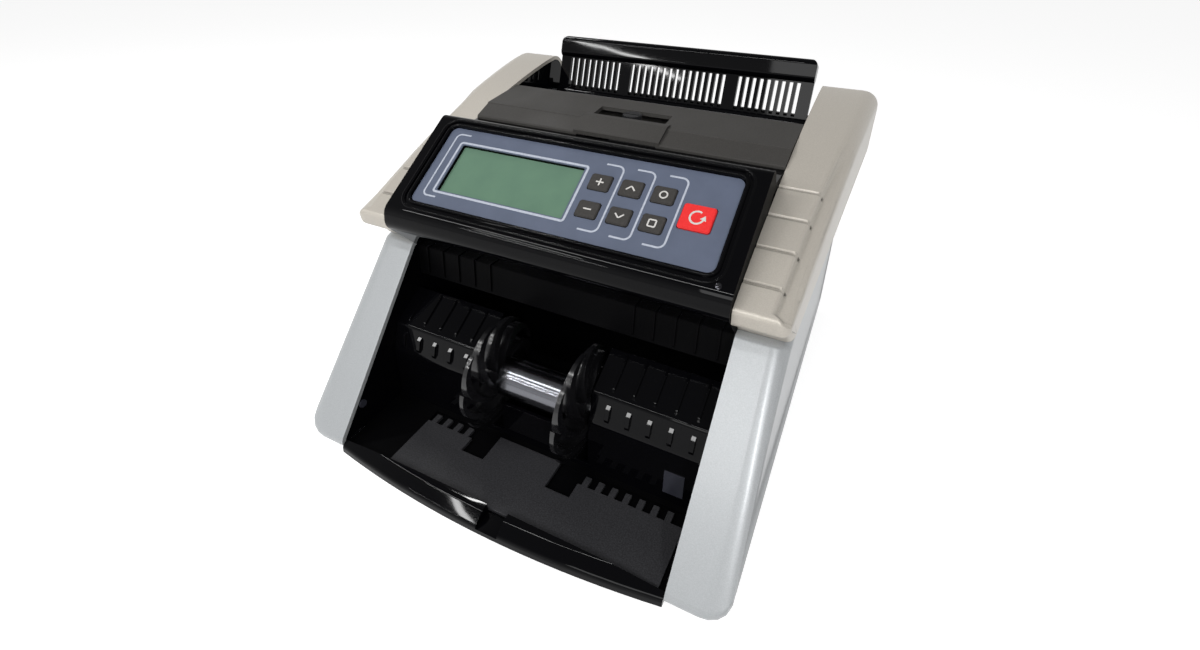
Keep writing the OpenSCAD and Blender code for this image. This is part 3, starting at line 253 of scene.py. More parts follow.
# Polished black ABS: deep black with sharp white streaks that waver a little.
gloss_black, tree, where, shader = new_material("polished_black_abs")
smudge = add_node(tree, "ShaderNodeTexNoise", {"Scale": 1 / (SMUDGE_MM * MM), "Detail": 5.0},
                  {"Vector": where})
shine = add_node(tree, "ShaderNodeMapRange",
                 {"From Min": 0.3, "From Max": 0.7, "To Min": 0.02, "To Max": 0.06},
                 {"Value": smudge.outputs["Fac"]})
wave = add_node(tree, "ShaderNodeTexNoise", {"Scale": 1 / (WAVE_MM * MM), "Detail": 0.0}, {"Vector": where})
wall = add_node(tree, "ShaderNodeBump", {"Strength": 0.06, "Distance": 0.3 * MM},
                {"Height": wave.outputs["Fac"]})
add_node(tree, shader, {"Base Color": srgb("#050507"), "Specular IOR Level": 0.11},
         {"Roughness": shine.outputs["Result"], "Normal": wall.outputs["Normal"]})
print("made", gloss_black.name)

# %% [markdown]
# ## Textured black plastic
# The base, the back and the switch keep the fine spark texture of their mould, which hides scratches.

# %% Textured black ABS
SPARK_MM = 0.7  # real spark pits are about 0.1 mm; drawn coarser, so that they show
# Spark-textured black ABS: a soft dark grey with no sharp reflections.
matt_black, tree, where, shader = new_material("textured_black_abs")
pits = add_node(tree, "ShaderNodeTexNoise", {"Scale": 1 / (SPARK_MM * MM), "Detail": 3.0},
                {"Vector": where})
tone = add_node(tree, "ShaderNodeValToRGB", links={"Fac": pits.outputs["Fac"]},
                tones=[(0.3, "#131315"), (0.7, "#1A1A1D")])
skin = add_node(tree, "ShaderNodeBump", {"Strength": 0.25, "Distance": 0.05 * MM},
                {"Height": pits.outputs["Fac"]})
add_node(tree, shader, {"Roughness": 0.55, "Specular IOR Level": 0.3},
         {"Base Color": tone.outputs["Color"], "Normal": skin.outputs["Normal"]})
print("made", matt_black.name)

# %% [markdown]
# ## Black plastic in the note path
# The guide and the tray inside are dull, so that they don't mirror light into the sensors. The finger
# wheels are acetal, which is slippery and a little waxy, because notes slide on them. The plate under
# the counted notes is a paler moulding with a fine grain, worn a little by the notes.

# %% Black plastic in the note path
# Dull black ABS: it swallows the light, with no more than a dim sheen.
dull_black, tree, where, shader = new_material("dull_black_abs")
smudge = add_node(tree, "ShaderNodeTexNoise", {"Scale": 1 / (SMUDGE_MM * MM), "Detail": 4.0},
                  {"Vector": where})
shine = add_node(tree, "ShaderNodeMapRange",
                 {"From Min": 0.3, "From Max": 0.7, "To Min": 0.38, "To Max": 0.5},
                 {"Value": smudge.outputs["Fac"]})
add_node(tree, shader, {"Base Color": srgb("#050506"), "Specular IOR Level": 0.03},
         {"Roughness": shine.outputs["Result"]})

# Black acetal: waxy, so its highlights are bright in the middle and spread out softly.
slide_black, tree, where, shader = new_material("sliding_black_acetal")
smudge = add_node(tree, "ShaderNodeTexNoise", {"Scale": 1 / (SMUDGE_MM * MM), "Detail": 4.0},
                  {"Vector": where})
shine = add_node(tree, "ShaderNodeMapRange",
                 {"From Min": 0.3, "From Max": 0.7, "To Min": 0.14, "To Max": 0.24},
                 {"Value": smudge.outputs["Fac"]})
add_node(tree, shader, {"Base Color": srgb("#121214"), "Specular IOR Level": 0.5},
         {"Roughness": shine.outputs["Result"]})

# Grained black ABS: a soft charcoal with pale specks, slightly more worn in patches.
plate_black, tree, where, shader = new_material("grained_black_abs")
specks = add_node(tree, "ShaderNodeTexNoise", {"Scale": 1 / (SPARK_MM * MM), "Detail": 3.0},
                  {"Vector": where})
tone = add_node(tree, "ShaderNodeValToRGB", links={"Fac": specks.outputs["Fac"]},
                tones=[(0.35, "#29292B"), (0.75, "#3B3B3E")])
wear = add_node(tree, "ShaderNodeTexNoise", {"Scale": 1 / (SMUDGE_MM * MM), "Detail": 4.0},
                {"Vector": where})
shine = add_node(tree, "ShaderNodeMapRange",
                 {"From Min": 0.3, "From Max": 0.7, "To Min": 0.32, "To Max": 0.46},
                 {"Value": wear.outputs["Fac"]})
add_node(tree, shader, {"Specular IOR Level": 0.2},
         {"Base Color": tone.outputs["Color"], "Roughness": shine.outputs["Result"]})
print("made", dull_black.name, slide_black.name, plate_black.name)

# %% [markdown]
# ## Dark grey hopper cover
# The cover is ABS coloured dark grey, from a spark-textured mould. Fingers polish it a little, so it has
# a satin sheen that is not quite even.

# %% Satin dark grey ABS
# Satin dark grey ABS: an even warm grey that lightens gently towards the lamps.
cover_grey, tree, where, shader = new_material("satin_dark_grey_abs")
pits = add_node(tree, "ShaderNodeTexNoise", {"Scale": 1 / (SPARK_MM * MM), "Detail": 3.0},
                {"Vector": where})
tone = add_node(tree, "ShaderNodeValToRGB", links={"Fac": pits.outputs["Fac"]},
                tones=[(0.3, "#3E3D3B"), (0.7, "#474543")])
skin = add_node(tree, "ShaderNodeBump", {"Strength": 0.2, "Distance": 0.04 * MM},
                {"Height": pits.outputs["Fac"]})
smudge = add_node(tree, "ShaderNodeTexNoise", {"Scale": 1 / (SMUDGE_MM * MM), "Detail": 4.0},
                  {"Vector": where})
shine = add_node(tree, "ShaderNodeMapRange",
                 {"From Min": 0.3, "From Max": 0.7, "To Min": 0.38, "To Max": 0.5},
                 {"Value": smudge.outputs["Fac"]})
add_node(tree, shader, {"Specular IOR Level": 0.1}, {"Base Color": tone.outputs["Color"],
         "Roughness": shine.outputs["Result"], "Normal": skin.outputs["Normal"]})
print("made", cover_grey.name)

# %% [markdown]
# ## Keypad film
# The panel is covered by a polyester film, printed on its back in blue-grey and lightly embossed on its
# front against glare.

# %% Printed polyester film
PEEL_MM, MOTTLE_MM = 1.2, 12.0
# Printed polyester film: a flat, slightly uneven colour under a soft gloss with a faint orange peel.
film, tree, where, shader = new_material("printed_polyester_film")
mottle = add_node(tree, "ShaderNodeTexNoise", {"Scale": 1 / (MOTTLE_MM * MM), "Detail": 6.0},
                  {"Vector": where})
tone = add_node(tree, "ShaderNodeValToRGB", links={"Fac": mottle.outputs["Fac"]},
                tones=[(0.3, "#596173"), (0.7, "#5F677A")])
peel = add_node(tree, "ShaderNodeTexNoise", {"Scale": 1 / (PEEL_MM * MM), "Detail": 2.0}, {"Vector": where})
skin = add_node(tree, "ShaderNodeBump", {"Strength": 0.08, "Distance": 0.03 * MM},
                {"Height": peel.outputs["Fac"]})
add_node(tree, shader, {"Roughness": 0.38, "Specular IOR Level": 0.25},
         {"Base Color": tone.outputs["Color"], "Normal": skin.outputs["Normal"]})
print("made", film.name)

# %% [markdown]
# ## Display
# The display is a greenish reflective liquid crystal behind a clear window, set lower than the film, so
# the edge of the film throws a shadow on it.

# %% Green display window
# Liquid crystal behind acrylic: a dull green that shifts a little, under a clean gloss.
lcd, tree, where, shader = new_material("green_display_window")
mottle = add_node(tree, "ShaderNodeTexNoise", {"Scale": 1 / (MOTTLE_MM * MM), "Detail": 3.0},
                  {"Vector": where})
tone = add_node(tree, "ShaderNodeValToRGB", links={"Fac": mottle.outputs["Fac"]},
                tones=[(0.3, "#617F6C"), (0.7, "#65846F")])
shine = add_node(tree, "ShaderNodeMapRange",
                 {"From Min": 0.3, "From Max": 0.7, "To Min": 0.12, "To Max": 0.22},
                 {"Value": mottle.outputs["Fac"]})
add_node(tree, shader, {"Specular IOR Level": 0.2},
         {"Base Color": tone.outputs["Color"], "Roughness": shine.outputs["Result"]})
print("made", lcd.name)

# %% [markdown]
# ## Rubber keys
# The keys are silicone rubber, cast in colour. Silicone is dull and slightly uneven, and the red key is
# a little smoother than the dark ones.

# %% Rubber keys
def silicone(name, dark, light, roughness):
    """Cast silicone: a soft colour without sharp highlights, on a skin that is not quite even."""
    made, tree, where, shader = new_material(name)
    peel = add_node(tree, "ShaderNodeTexNoise", {"Scale": 1 / (PEEL_MM * MM), "Detail": 3.0},
                    {"Vector": where})
    tone = add_node(tree, "ShaderNodeValToRGB", links={"Fac": peel.outputs["Fac"]},
                    tones=[(0.3, dark), (0.7, light)])
    skin = add_node(tree, "ShaderNodeBump", {"Strength": 0.1, "Distance": 0.03 * MM},
                    {"Height": peel.outputs["Fac"]})
    add_node(tree, shader, {"Roughness": roughness, "Specular IOR Level": 0.25},
             {"Base Color": tone.outputs["Color"], "Normal": skin.outputs["Normal"]})
    return made


key_rubber = silicone("charcoal_silicone", "#353331", "#3D3B39", 0.6)
red_rubber = silicone("red_silicone", "#E42A2B", "#EC3433", 0.45)
print("made", key_rubber.name, red_rubber.name)

# %% [markdown]
# ## Steel
# Shafts and frames are zinc-plated steel. The bar was drawn through a die, so fine lines run along it,
# and the shafts lie along X: the noise is stretched that way.

# %% Zinc-plated steel
DRAWN_MM = 0.6  # real drawing lines are about 0.05 mm; drawn coarser, so that they show
# Zinc plating: a pale, slightly bluish metal whose highlights are broken into streaks.
steel, tree, where, shader = new_material("zinc_plated_steel")
drawn = add_node(tree, "ShaderNodeMapping", {"Scale": (0.05, 1, 1)}, {"Vector": where})
lines = add_node(tree, "ShaderNodeTexNoise", {"Scale": 1 / (DRAWN_MM * MM), "Detail": 2.0},
                 {"Vector": drawn.outputs["Vector"]})
shine = add_node(tree, "ShaderNodeMapRange",
                 {"From Min": 0.3, "From Max": 0.7, "To Min": 0.24, "To Max": 0.42},
                 {"Value": lines.outputs["Fac"]})
add_node(tree, shader, {"Base Color": srgb("#B4B6BA"), "Metallic": 1.0},
         {"Roughness": shine.outputs["Result"]})
print("made", steel.name)

# %% [markdown]
# ## Dark metals
# The sleeve between the finger wheels is turned on a lathe and plated with black nickel, so its lines run
# round it. The screws are oxidised black.

# %% Dark metals
PORE_MM = 0.4
# Turned black nickel: a dark mirror, drawn out by the turning lines into one long bright streak.
sleeve_nickel, tree, where, shader = new_material("black_nickel_sleeve")
turned = add_node(tree, "ShaderNodeMapping", {"Scale": (1, 0.05, 0.05)}, {"Vector": where})
lines = add_node(tree, "ShaderNodeTexNoise", {"Scale": 1 / (DRAWN_MM * MM), "Detail": 2.0},
                 {"Vector": turned.outputs["Vector"]})
shine = add_node(tree, "ShaderNodeMapRange",
                 {"From Min": 0.3, "From Max": 0.7, "To Min": 0.14, "To Max": 0.22},
                 {"Value": lines.outputs["Fac"]})
add_node(tree, shader, {"Base Color": srgb("#6E6F74"), "Metallic": 1.0},
         {"Roughness": shine.outputs["Result"]})

# Black oxide on steel: nearly black, with small soft glints.
black_oxide, tree, where, shader = new_material("black_oxide_steel")
pores = add_node(tree, "ShaderNodeTexNoise", {"Scale": 1 / (PORE_MM * MM), "Detail": 2.0},
                 {"Vector": where})
shine = add_node(tree, "ShaderNodeMapRange",
                 {"From Min": 0.3, "From Max": 0.7, "To Min": 0.12, "To Max": 0.24},
                 {"Value": pores.outputs["Fac"]})
add_node(tree, shader, {"Base Color": srgb("#47474B"), "Metallic": 1.0},
         {"Roughness": shine.outputs["Result"]})
print("made", sleeve_nickel.name, black_oxide.name)

# %% [markdown]
# ## Bronze bushes
# The shafts run in bushes of sintered bronze: powder pressed and baked, so that its pores hold oil.

# %% Sintered bronze
# Sintered bronze: a dull brown-gold, speckled with dark pores.
bronze, tree, where, shader = new_material("sintered_bronze")
pores = add_node(tree, "ShaderNodeTexNoise", {"Scale": 1 / (PORE_MM * MM), "Detail": 2.0},
                 {"Vector": where})
tone = add_node(tree, "ShaderNodeValToRGB", links={"Fac": pores.outputs["Fac"]},
                tones=[(0.3, "#7E6038"), (0.6, "#B08A55")])
skin = add_node(tree, "ShaderNodeBump", {"Strength": 0.3, "Distance": 0.05 * MM},
                {"Height": pores.outputs["Fac"]})
add_node(tree, shader, {"Metallic": 1.0, "Roughness": 0.45},
         {"Base Color": tone.outputs["Color"], "Normal": skin.outputs["Normal"]})
print("made", bronze.name)

# %% [markdown]
# ## Roller rubber
# Rollers, belts and feet are black rubber. Rollers are ground to size, which leaves a matt skin that
# grips the notes.

# %% Ground rubber
GROUND_MM = 0.6  # the grinding marks are about 0.1 mm; drawn coarser, so that they show
# Ground rubber: a dusty black that never glints.
rubber, tree, where, shader = new_material("ground_black_rubber")
marks = add_node(tree, "ShaderNodeTexNoise", {"Scale": 1 / (GROUND_MM * MM), "Detail": 4.0},
                 {"Vector": where})
tone = add_node(tree, "ShaderNodeValToRGB", links={"Fac": marks.outputs["Fac"]},
                tones=[(0.3, "#171717"), (0.7, "#212120")])
skin = add_node(tree, "ShaderNodeBump", {"Strength": 0.4, "Distance": 0.08 * MM},
                {"Height": marks.outputs["Fac"]})
add_node(tree, shader, {"Roughness": 0.75, "Specular IOR Level": 0.3},
         {"Base Color": tone.outputs["Color"], "Normal": skin.outputs["Normal"]})
print("made", rubber.name)

# %% [markdown]
# ## Circuit boards
# The boards are glass fibre with copper tracks under a green solder mask. A brick pattern stands for the
# tracks: its joints are the lighter green that the mask has over copper.

# %% Green solder mask
TRACK_MM = 3.0
# Solder mask: a clear dark green, a little glossy, with paler lines over the copper.
board, tree, where, shader = new_material("green_solder_mask")
tracks = add_node(tree, "ShaderNodeTexBrick", {"Scale": 1 / (TRACK_MM * MM), "Mortar Size": 0.08,
                  "Color1": srgb("#1C5431"), "Color2": srgb("#205C37"), "Mortar": srgb("#2C7346")},
                  {"Vector": where})
add_node(tree, shader, {"Roughness": 0.35}, {"Base Color": tracks.outputs["Color"]})
print("made", board.name)

# %% [markdown]
# ## Sensor lenses
# The sensors look at the notes through smoked acrylic, which lets infrared light through.

# %% Smoked acrylic
# Smoked acrylic: a grey window with a clean gloss, slightly paler than the plastic round it.
lens, tree, where, shader = new_material("smoked_sensor_lens")
smudge = add_node(tree, "ShaderNodeTexNoise", {"Scale": 1 / (SMUDGE_MM * MM), "Detail": 2.0},
                  {"Vector": where})
shine = add_node(tree, "ShaderNodeMapRange",
                 {"From Min": 0.3, "From Max": 0.7, "To Min": 0.15, "To Max": 0.3},
                 {"Value": smudge.outputs["Fac"]})
add_node(tree, shader, {"Base Color": srgb("#33343C"), "Specular IOR Level": 0.4},
         {"Roughness": shine.outputs["Result"]})
print("made", lens.name)

# %% [markdown]
# ## Finishes on the solids
# The record groups the solids by finish, so each of its material slots is given one of the materials. A
# few pieces of a slot have a finish of their own. The solids are never moved or reshaped.

# %% Finishes on the solids
FINISH_OF_SLOT = {
    "silver_paint": warm_silver, "gloss_black": gloss_black, "black_plastic": matt_black,
    "dark_grey_plastic": cover_grey, "overlay_film": film, "display": lcd, "key_plastic": key_rubber,
    "red_key": red_rubber, "circuit_board": board, "steel": steel, "bright_sleeve": sleeve_nickel,
    "bronze": bronze, "roller_rubber": rubber, "sensor_lens": lens}
OWN_FINISH = {"left_side_panel": cool_silver, "right_side_panel": cool_silver, "impellers": slide_black,
              "stacker_plate": plate_black, "upper_guide": dull_black, "base_tray": dull_black}
SLOT_OF_NODE = {part["node"]: part["material_slot"] for part in frame["record"]["subparts"]}
FINISH = {name: OWN_FINISH.get(name, FINISH_OF_SLOT[slot]) for name, slot in SLOT_OF_NODE.items()}
for name, solid in NODES.items():
    solid.data.materials.clear()
    solid.data.materials.append(FINISH[name])
print("finishes on", len(NODES), "solids")

# %% [markdown]
# ## How a moulding is rounded
# A moulded edge is never knife-sharp: its small radius catches a line of light, which is what makes
# plastic look real. A solid can't be edited, so a copy of its mesh is welded, its flat faces are joined,
# and its sharp edges are bevelled. Weighted normals keep the flat faces flat, and the copy then stands
# in for the solid.

# %% How a moulding is rounded
BODY_OF_NODE = {name: body for body, members in frame["record"]["behaviour"]["bodies"].items()
                for name in members}
WELD, FLAT, SHARP = 0.002 * MM, math.radians(0.8), math.radians(35)


def new_piece(name, bm, material, body):
    """Turn a mesh under construction into a piece that rides on a body."""
    mesh = bpy.data.meshes.new(name)
    bm.to_mesh(mesh)
    bm.free()
    mesh.materials.append(material)
    piece = bpy.data.objects.new(name, mesh)
    bpy.context.scene.collection.objects.link(piece)
    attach(piece, body)
    return piece


def moulded(name, radius_mm, crease=SHARP, segments=3):
    """A welded copy of a solid with rounded edges, which replaces it.

    Edges up to crease are shaded round; edges that run along X are shaded round up to SHARP only."""
    bm = bmesh.new()
    bm.from_mesh(NODES[name].data)
    bmesh.ops.remove_doubles(bm, verts=bm.verts, dist=WELD)
    bmesh.ops.dissolve_limit(bm, angle_limit=FLAT, verts=bm.verts, edges=bm.edges)
    sharp = [e for e in bm.edges if len(e.link_faces) == 2 and e.calc_face_angle() > SHARP]
    if radius_mm:
        bmesh.ops.bevel(bm, geom=sharp, offset=radius_mm * MM, offset_type="OFFSET", segments=segments,
                        profile=0.5, affect="EDGES", clamp_overlap=True, material=-1)
    for face in bm.faces:
        face.smooth = True
    for edge in bm.edges:
        run = (edge.verts[1].co - edge.verts[0].co).normalized()
        edge.smooth = edge.calc_face_angle(math.pi) <= (SHARP if abs(run.x) > 0.9 else crease)
    piece = new_piece(name + "_moulding", bm, FINISH[name], BODY_OF_NODE[name])
    shading = piece.modifiers.new("flat_faces_stay_flat", "WEIGHTED_NORMAL")
    shading.keep_sharp, shading.weight = True, 100
    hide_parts(name)
    return piece


print("edges sharper than", round(math.degrees(SHARP)), "degrees are rounded")

# %% [markdown]
# ## Rounded shells and pocket
# The silver shells already have their large radii, so they are only welded and shaded; on the arms the
# shading also runs over the step beside the grooved pad, which is soft on a sprayed moulding. The edges
# of the black mouldings get up to half a millimetre, as much as a mould usually has there. The two ends
# of the pod slide down between the arms, so they are left dull, and don't mirror the silver beside them.

# %% Rounded shells and pocket
PAD_CREASE = math.radians(62)
SHELL_RADIUS_MM = {
    "left_side_panel": 0, "right_side_panel": 0, "control_pod": 0.5, "front_lip": 0.5, "hopper_cover": 0.5,
    "backrest": 0.4, "stacker_plate": 0.3, "stacker_backwall": 0.3, "upper_guide": 0.25, "rear_panel": 0.4}
for name, radius in SHELL_RADIUS_MM.items():
    made = moulded(name, radius)
    print(made.name, len(made.data.polygons), "faces")
for name in ("left_arm_cover", "right_arm_cover"):
    made = moulded(name, 0, PAD_CREASE)
    print(made.name, len(made.data.polygons), "faces")
pod = bpy.data.objects["control_pod_moulding"].data
pod.materials.append(dull_black)
pod_ends = [face for face in pod.polygons if abs(face.normal.x) > 0.95]
for face in pod_ends:
    face.material_index = 1
print(len(pod_ends), "dull faces at the ends of the pod")

# %% [markdown]
# ## Rounded small parts
# Keys, knob, inlet and rocker are touched by fingers, so their moulds break every edge with a quarter of
# a millimetre.

# %% Rounded small parts
SMALL_RADIUS_MM = {"adjusting_knob": 0.25, "power_inlet": 0.3, "switch_housing": 0.3, "power_rocker": 0.3,
                   "restart_key": 0.25}
SMALL_RADIUS_MM.update({f"key_{i}": 0.25 for i in range(1, 7)})
for name, radius in SMALL_RADIUS_MM.items():
    made = moulded(name, radius)
    print(made.name, len(made.data.polygons), "faces")

# %% [markdown]
# ## Screen inks
# Lines and signs are screen-printed. The ink on the film is a pale blue-grey, the ink on the keys a warm
# white. Both cover a little unevenly, because the mesh of the screen lets more ink through in places.

# %% Screen inks
def screen_ink(name, thin, full):
    """Screen ink: a flat, pale colour that is a little thinner in places and has no shine."""
    made, tree, where, shader = new_material(name)
    cover = add_node(tree, "ShaderNodeTexNoise", {"Scale": 1 / (PEEL_MM * MM), "Detail": 2.0},
                     {"Vector": where})
    tone = add_node(tree, "ShaderNodeValToRGB", links={"Fac": cover.outputs["Fac"]},
                    tones=[(0.3, thin), (0.7, full)])
    add_node(tree, shader, {"Roughness": 0.5, "Specular IOR Level": 0.3},
             {"Base Color": tone.outputs["Color"]})
    return made


pale_ink = screen_ink("pale_screen_ink", "#ABB1BE", "#BCC2CE")
white_ink = screen_ink("white_key_ink", "#C4C2BE", "#D6D4D0")
print("inks", pale_ink.name, white_ink.name)

# %% [markdown]
# ## A pen
# A printed line has the same width everywhere. It could be a curve with a flat profile, but a mesh is
# simpler to lay on a slope: a short edge is the nib, pushed straight ahead with an extrusion or swung
# round with a spin, one move after another. A band can also end in a point, for an arrow.

# %% A pen
def lead(geom):
    """The two corners and the edge at the front of a band that has just grown."""
    corners = [g for g in geom if isinstance(g, bmesh.types.BMVert)]
    return corners, next(e for e in corners[0].link_edges if e.other_vert(corners[0]) == corners[1])


def draw(bm, start, heading, width, moves):
    """Draw a band from start, heading in degrees, by moves.

    The moves are go (length), turn (radius, degrees) and point (length)."""
    at, turned = Vector((*start, 0)), math.radians(heading)
    across = Matrix.Rotation(turned, 3, "Z") @ Vector((0, width / 2, 0))
    nib = [bm.verts.new(at + across), bm.verts.new(at - across)]
    edge = bm.edges.new(nib)
    for kind, length, *angle in moves:
        spun = Matrix.Rotation(turned, 3, "Z")
        if kind == "turn":
            swing = math.radians(angle[0])
            centre = at + spun @ Vector((0, math.copysign(length, swing), 0))
            whole = abs(angle[0]) == 360
            grown = bmesh.ops.spin(bm, geom=nib + [edge], cent=centre, axis=(0, 0, 1), angle=swing,
                                   steps=max(4, round(abs(angle[0]) / 12)), use_merge=whole)["geom_last"]
            if whole:
                break
            at, turned = centre + Matrix.Rotation(swing, 3, "Z") @ (at - centre), turned + swing
            nib, edge = lead(grown)
        else:
            nib, edge = lead(bmesh.ops.extrude_edge_only(bm, edges=[edge])["geom"])
            at = at + spun @ Vector((length, 0, 0))
            bmesh.ops.translate(bm, vec=spun @ Vector((length, 0, 0)), verts=nib)
            if kind == "point":
                bmesh.ops.pointmerge(bm, verts=nib, merge_co=at)


test = bmesh.new()
draw(test, (0, 0), 0, 1.0, [("go", 5), ("turn", 2, 90), ("go", 3)])
print("a test line reaches", tuple(round(max(v.co[i] for v in test.verts), 2) for i in (0, 1)))
test.free()

# %% [markdown]
# ## Ink on the panel
# A print is drawn flat, in millimetres of the panel. Then it gets the thickness of the ink, a few
# hundredths of a millimetre, and is laid on the sloping film or on a key.

# %% Ink on the panel
PANEL = Matrix.Translation((0, -0.054, 0.134)) @ Matrix.Rotation(math.radians(31.9), 4, "X")
FILM_TOP, KEY_TOP, INK_T = 0.5, 1.5, 0.04


def print_ink(name, bm, seat, material, body):
    """Give a flat drawing the thickness of ink, and lay it on a seat."""
    bmesh.ops.remove_doubles(bm, verts=bm.verts[:], dist=0.005)
    bmesh.ops.recalc_face_normals(bm, faces=bm.faces[:])
    raised = bmesh.ops.extrude_face_region(bm, geom=bm.faces[:])["geom"]
    top = [g for g in raised if isinstance(g, bmesh.types.BMVert)]
    bmesh.ops.translate(bm, vec=(0, 0, INK_T), verts=top)
    bmesh.ops.recalc_face_normals(bm, faces=bm.faces[:])
    bmesh.ops.transform(bm, matrix=seat @ Matrix.Scale(MM, 4), verts=bm.verts[:])
    made = new_piece(name, bm, material, body)
    print(made.name, len(made.data.polygons), "faces")
    return made


print("ink", INK_T, "mm thick")

# %% [markdown]
# ## Lines on the film
# A pale frame runs round the display, a hook stands left of it, and a hook ties each pair of keys
# together. They only guide the eye, so they carry no words.

# %% Lines on the film
LINE_W, FRAME_W = 1.0, 1.3


def round_frame(bm, x0, x1, y0, y1, r, width):
    """A closed rectangle with rounded corners."""
    sides = (x1 - x0 - 2 * r, y1 - y0 - 2 * r) * 2
    draw(bm, (x0 + r, y0), 0, width, [move for side in sides for move in (("go", side), ("turn", r, 90))])


def hook(bm, start, heading, reach, height, r):
    """A square bracket: out from start, up the bar and back."""
    out, corner, bar = ("go", reach - r), ("turn", r, 90), ("go", height - 2 * r)
    draw(bm, start, heading, LINE_W, [out, corner, bar, corner, out])


lines = bmesh.new()
round_frame(lines, -77.2, 6.4, 9.0, 43.6, 1.5, FRAME_W)
hook(lines, (-73.5, 49.0), 180, 9.1, 43.4, 3.0)
for bar_x in (26.2, 43.8, 61.4):
    hook(lines, (bar_x - 10.6, 6.9), 0, 10.6, 40.4, 3.5)
on_film = PANEL @ Matrix.Translation((0, 0, FILM_TOP * MM))
print_ink("panel_lines", lines, on_film, pale_ink, "machine")

# %% [markdown]
# ## Signs on the keys
# The keys carry plain signs: plus, minus, up, down, a ring and a square, and a turning arrow on the red
# key. Each sign rides on its own key, so it goes down with it. The plus grows out of a small square, by
# an extrusion of each of its sides, and serves again as the painted shade of the screws' cross recess.

# %% Signs on the keys
SIGN_W, ARM, TIP = 0.8, 1.8, 0.6


def plus_sign(width, arm):
    """A flat plus: a square of that width, with each side pushed out by the length of an arm."""
    bm = bmesh.new()
    bmesh.ops.create_grid(bm, x_segments=1, y_segments=1, size=width / 2)
    for side in bm.edges[:]:
        outward = (side.verts[0].co + side.verts[1].co).normalized() * arm
        corners, _ = lead(bmesh.ops.extrude_edge_only(bm, edges=[side])["geom"])
        bmesh.ops.translate(bm, vec=outward, verts=corners)
    return bm


KEY_X, KEY_PITCH, UPPER_ROW, LOWER_ROW = 16.6, 17.6, 35.2, 18.4
KEY_PLACE = {f"key_{i + 1}": (KEY_X + KEY_PITCH * (i % 3), UPPER_ROW if i < 3 else LOWER_ROW)
             for i in range(6)}
KEY_PLACE["restart_key"] = (71.75, 26.5)
signs = {key: plus_sign(SIGN_W, ARM) if key == "key_1" else bmesh.new() for key in KEY_PLACE}
draw(signs["key_2"], (-2.4, -1.2), 45, SIGN_W, [("go", 2.8), ("turn", TIP, -90), ("go", 2.8)])
draw(signs["key_3"], (1.9, 0), 90, SIGN_W, [("turn", 1.9, 360)])
draw(signs["key_4"], (-2.2, 0), 0, SIGN_W, [("go", 4.4)])
draw(signs["key_5"], (-2.4, 1.2), -45, SIGN_W, [("go", 2.8), ("turn", TIP, 90), ("go", 2.8)])
round_frame(signs["key_6"], -1.9, 1.9, -1.9, 1.9, 0.6, SIGN_W)
draw(signs["restart_key"], (1.7, 2.94), 150, 1.0, [("turn", 3.4, 285)])
draw(signs["restart_key"], (3.28, -0.88), 75, 3.4, [("point", 2.6)])
for key, bm in signs.items():
    x, y = KEY_PLACE[key]
    on_key = PANEL @ Matrix.Translation((x * MM, y * MM, KEY_TOP * MM))
    print_ink(key + "_sign", bm, on_key, white_ink, BODY_OF_NODE[key])

# %% [markdown]
# ## Beads round the film
# The rim of the pod carries two rounded beads round the film, with a groove between them. They stiffen
# the thin frame, and each one mirrors the lamps in its own line. A bead is drawn with the pen, raised,
# and its two upper edges are rounded until they meet.

# %% Beads round the film
BEAD_W, BEAD_H, BEAD_SINK, RIM_H = 1.2, 0.45, 0.25, 2.0
FILM_X, FILM_Y, FILM_R = 88.2, 53.0, 4.0
beads = bmesh.new()
for out in (1.3, 5.0):
    round_frame(beads, -FILM_X - out, FILM_X + out, -out, FILM_Y + out, FILM_R + out, BEAD_W)
bmesh.ops.remove_doubles(beads, verts=beads.verts[:], dist=0.005)
bmesh.ops.recalc_face_normals(beads, faces=beads.faces[:])
raised = bmesh.ops.extrude_face_region(beads, geom=beads.faces[:])["geom"]
top = [g for g in raised if isinstance(g, bmesh.types.BMVert)]
bmesh.ops.translate(beads, vec=(0, 0, BEAD_H + BEAD_SINK), verts=top)
bmesh.ops.recalc_face_normals(beads, faces=beads.faces[:])
upper = [e for e in beads.edges if all(v in top for v in e.verts) and e.calc_face_angle(0) > SHARP]
bmesh.ops.bevel(beads, geom=upper, offset=BEAD_W * 0.45, offset_type="OFFSET", segments=4, profile=0.5,
                affect="EDGES", clamp_overlap=True, material=-1)
on_rim = PANEL @ Matrix.Translation((0, 0, (RIM_H - BEAD_SINK) * MM)) @ Matrix.Scale(MM, 4)
bmesh.ops.transform(beads, matrix=on_rim, verts=beads.verts[:])
made = new_piece("pod_beads", beads, gloss_black, "machine")
made.data.polygons.foreach_set("use_smooth", [True] * len(made.data.polygons))
made.data.set_sharp_from_angle(angle=PAD_CREASE)
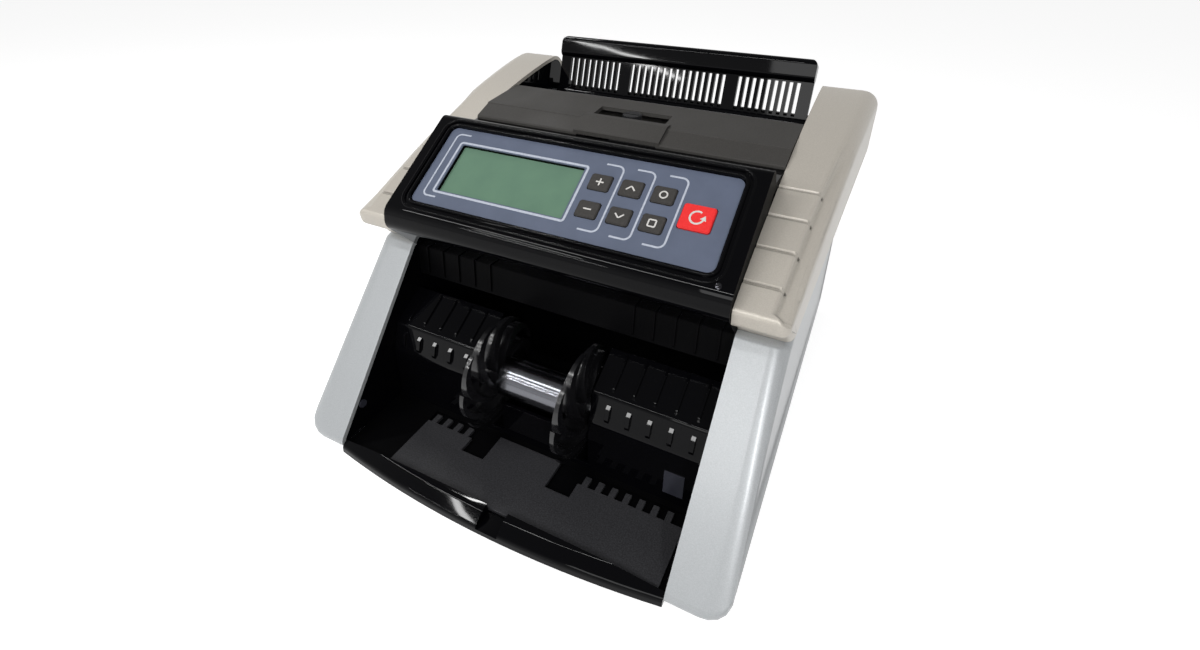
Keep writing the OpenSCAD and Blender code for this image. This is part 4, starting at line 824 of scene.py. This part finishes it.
print(made.name, len(made.data.polygons), "faces")

# %% [markdown]
# ## Screws
# One small dark screw glints in the lower right corner of the pod, and four hold the back. A pan head is
# a flat dome, so half its outline is drawn and turned by a spin. Its cross recess is not cut: its shade is
# painted as a flat dark plus laid on the top and turned a little, as a screw happens to stop.

# %% Screws
CROSS_TURN = Matrix.Rotation(math.radians(25), 4, "Z")


def pan_screw(name, seat, radius, height):
    """A pan-head screw on a seat: a spun dome with a dark plus on its top, painted shade of its cross
    recess.
    """
    bm = bmesh.new()
    outline = [(0, height), (radius * 0.6, height * 0.9), (radius * 0.9, height * 0.55), (radius, 0),
                (0, 0)]
    corners = [bm.verts.new((r, 0, z)) for r, z in outline]
    half = [bm.edges.new(pair) for pair in zip(corners, corners[1:])]
    bmesh.ops.spin(bm, geom=corners + half, cent=(0, 0, 0), axis=(0, 0, 1), angle=math.tau, steps=24,
                   use_merge=True)
    bmesh.ops.remove_doubles(bm, verts=bm.verts[:], dist=0.001)
    bmesh.ops.recalc_face_normals(bm, faces=bm.faces[:])
    bmesh.ops.transform(bm, matrix=seat @ Matrix.Scale(MM, 4), verts=bm.verts[:])
    head = new_piece(name, bm, black_oxide, "machine")
    head.data.polygons.foreach_set("use_smooth", [True] * len(head.data.polygons))
    head.data.set_sharp_from_angle(angle=SHARP)
    on_head = seat @ Matrix.Translation((0, 0, (height - INK_T / 2) * MM)) @ CROSS_TURN
    # Painted shade: a flat dark plus stands in for the shaded hollow of the cross recess.
    painted_recess_shade = plus_sign(radius * 0.2, radius * 0.5)
    print_ink(name + "_cross", painted_recess_shade, on_head, matt_black, "machine")


pan_screw("pod_screw", PANEL @ Matrix.Translation((92.2 * MM, -5.2 * MM, RIM_H * MM)), 1.7, 0.7)
low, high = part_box("rear_panel")
print("rear panel", [round(c, 4) for c in low], [round(c, 4) for c in high])
upper, lower = high[2] / MM - 12, low[2] / MM + 9
for number, (x, z) in enumerate([(-90, upper), (90, upper), (-78, lower), (78, lower)]):
    on_back = Matrix.Translation((x * MM, high[1], z * MM)) @ Matrix.Rotation(math.radians(-90), 4, "X")
    pan_screw(f"back_screw_{number + 1}", on_back, 3.0, 1.4)
